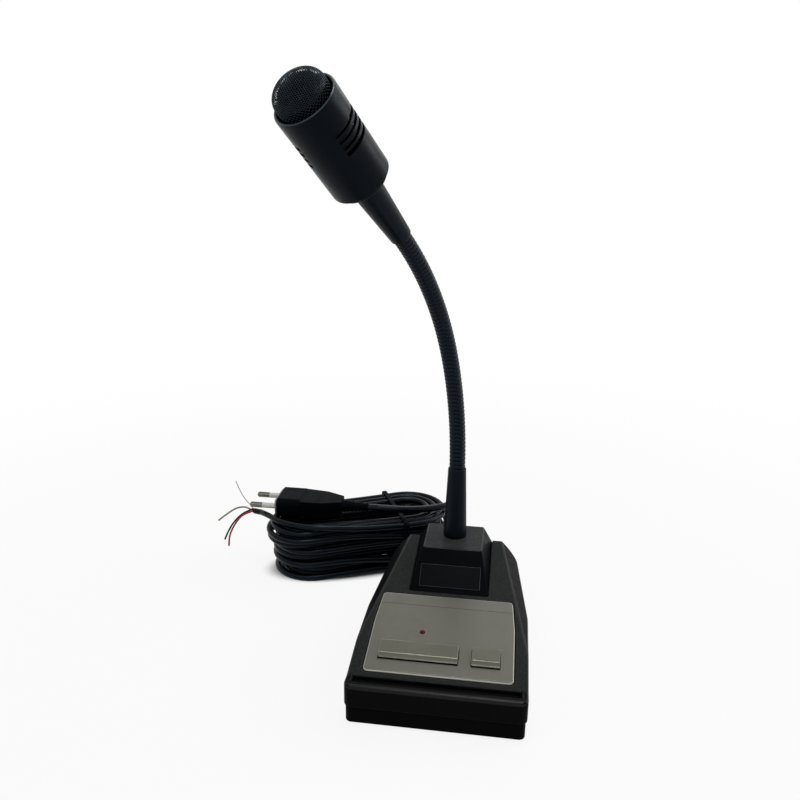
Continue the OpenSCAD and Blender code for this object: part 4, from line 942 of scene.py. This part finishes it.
# The floor turns white between these lengths from the middle, from this share of white
FLOOR_NEAR = 0.2
FLOOR_FAR = 0.75
FLOOR_SHARE = 0.88
# It stays unlit inside the hank, up to these shares of the hank's size
HANK_INSIDE = 0.9
HANK_OUTSIDE = 1.15
SOFT_LIGHT = 0.3
# Lamps: place, target, size and power
LAMPS = {
    "front_top": ((-0.35, -0.9, 1.1), (0, 0, 0.1), 1.2, 4),
    "overhead": ((0, -0.05, 1.4), (0, 0, 0.1), 0.4, 6),
    "behind": ((0.1, 0.95, 1.0), (0, 0, 0.1), 0.9, 3),
    "right_rear": ((1.0, 0.5, 0.8), (0, 0, 0.15), 0.8, 6),
}


def seen_rays(tree):
    """Output that is 1 for rays that see a white background: the camera's, and those off gloss and glass."""
    path = node_of(tree, "ShaderNodeLightPath")
    some = node_of(tree, "ShaderNodeMath", operation="MAXIMUM")
    seen = node_of(tree, "ShaderNodeMath", operation="MAXIMUM")
    tree.links.new(path.outputs["Is Camera Ray"], some.inputs[0])
    tree.links.new(path.outputs["Is Glossy Ray"], some.inputs[1])
    tree.links.new(some.outputs[0], seen.inputs[0])
    tree.links.new(path.outputs["Is Transmission Ray"], seen.inputs[1])
    return seen.outputs[0]


def add_floor():
    """White floor that keeps the object's soft shadow and fades into a white background."""
    bm = bmesh.new()
    bmesh.ops.create_grid(bm, x_segments=1, y_segments=1, size=FLOOR_HALF)
    floor_piece = finish_piece("floor", bm)
    material = bpy.data.materials.new("floor_white")
    material.use_nodes = True
    tree = material.node_tree
    link = tree.links.new
    shader = tree.nodes["Principled BSDF"]
    shader.inputs["Base Color"].default_value = (FLOOR_GREY, FLOOR_GREY, FLOOR_GREY, 1)
    shader.inputs["Roughness"].default_value = FLOOR_ROUGH
    shader.inputs["Specular IOR Level"].default_value = FLOOR_SHINE
    white = node_of(tree, "ShaderNodeEmission")
    place = node_of(tree, "ShaderNodeTexCoord")
    away = node_of(tree, "ShaderNodeVectorMath", operation="LENGTH")
    fade = ramp(tree, FLOOR_NEAR, FLOOR_FAR, start=FLOOR_SHARE)
    inside = node_of(tree, "ShaderNodeMapping", vector_type="TEXTURE")
    inside.inputs["Location"].default_value = mm(HANK_X, HANK_Y, 0)
    inside.inputs["Rotation"].default_value = (0, 0, HANK_ANGLE)
    inside.inputs["Scale"].default_value = mm(HANK_RUN + HANK_R, HANK_R, 1000)
    middle = node_of(tree, "ShaderNodeVectorMath", operation="LENGTH")
    open_air = ramp(tree, HANK_INSIDE, HANK_OUTSIDE)
    clear = node_of(tree, "ShaderNodeMath", operation="MULTIPLY")
    share = node_of(tree, "ShaderNodeMath", operation="MULTIPLY")
    mix = node_of(tree, "ShaderNodeMixShader")
    link(place.outputs["Object"], inside.inputs["Vector"])
    link(inside.outputs["Vector"], middle.inputs[0])
    link(middle.outputs["Value"], open_air.inputs["Value"])
    link(open_air.outputs["Result"], clear.inputs[0])
    link(fade.outputs["Result"], clear.inputs[1])
    link(place.outputs["Object"], away.inputs[0])
    link(away.outputs["Value"], fade.inputs["Value"])
    link(seen_rays(tree), share.inputs[0])
    link(clear.outputs[0], share.inputs[1])
    link(share.outputs[0], mix.inputs["Fac"])
    link(shader.outputs[0], mix.inputs[1])
    link(white.outputs[0], mix.inputs[2])
    link(mix.outputs[0], tree.nodes["Material Output"].inputs["Surface"])
    floor_piece.data.materials.append(material)


def add_world():
    """White surroundings for the camera and for reflections, and an even, dimmer light."""
    world = bpy.data.worlds.new("studio")
    world.use_nodes = True
    tree = world.node_tree
    link = tree.links.new
    soft = tree.nodes["Background"]
    soft.inputs["Color"].default_value = (1, 1, 1, 1)
    soft.inputs["Strength"].default_value = SOFT_LIGHT
    white = node_of(tree, "ShaderNodeBackground", Strength=1.0)
    white.inputs["Color"].default_value = (1, 1, 1, 1)
    mix = node_of(tree, "ShaderNodeMixShader")
    link(seen_rays(tree), mix.inputs["Fac"])
    link(soft.outputs[0], mix.inputs[1])
    link(white.outputs[0], mix.inputs[2])
    link(mix.outputs[0], tree.nodes["World Output"].inputs["Surface"])
    bpy.context.scene.world = world


def add_lamp(name, place, target, size, power):
    """Square soft lamp that points at a target."""
    data = bpy.data.lights.new(name, "AREA")
    data.size = size
    data.energy = power
    lamp = bpy.data.objects.new(name, data)
    lamp.location = place
    lamp.rotation_euler = (Vector(target) - Vector(place)).to_track_quat("-Z", "Y").to_euler()
    bpy.context.scene.collection.objects.link(lamp)


add_camera()
cords = add_cords()
materials = make_materials()
hoses = add_neck()
grille = add_grille()
liner = add_liner()
lip = add_lip()
line = add_line()
finished = {}
for node, width, look in SOFT_EDGES:
    finished[node] = softened(node, width)
    paint(finished[node], materials[look], materials[WORN_AND_HIGHLIT_EDGES.get(look, look)])
for look, names in KEPT.items():
    for node in names:
        paint(NODES[node], materials[look])
for hose in hoses:
    paint(hose, materials["hose"])
for piece, look, slot in (
    (lip, "lip", "case_plastic"),
    (grille, "grille", "grille_steel"),
    (liner, "foam", "black_rubber"),
    (line, "line", "case_plastic"),
):
    paint(piece, materials[look])
for name in ("mains_cord", "signal_cord"):
    paint(cords[name][0], materials["cord"])
for name, (_, _, _, look, _) in WIRES.items():
    paint(cords[name][0], materials[look])
add_floor()
add_world()
for name, (place, target, size, power) in LAMPS.items():
    add_lamp(name, place, target, size, power)
bpy.context.scene.view_settings.view_transform = "Standard"
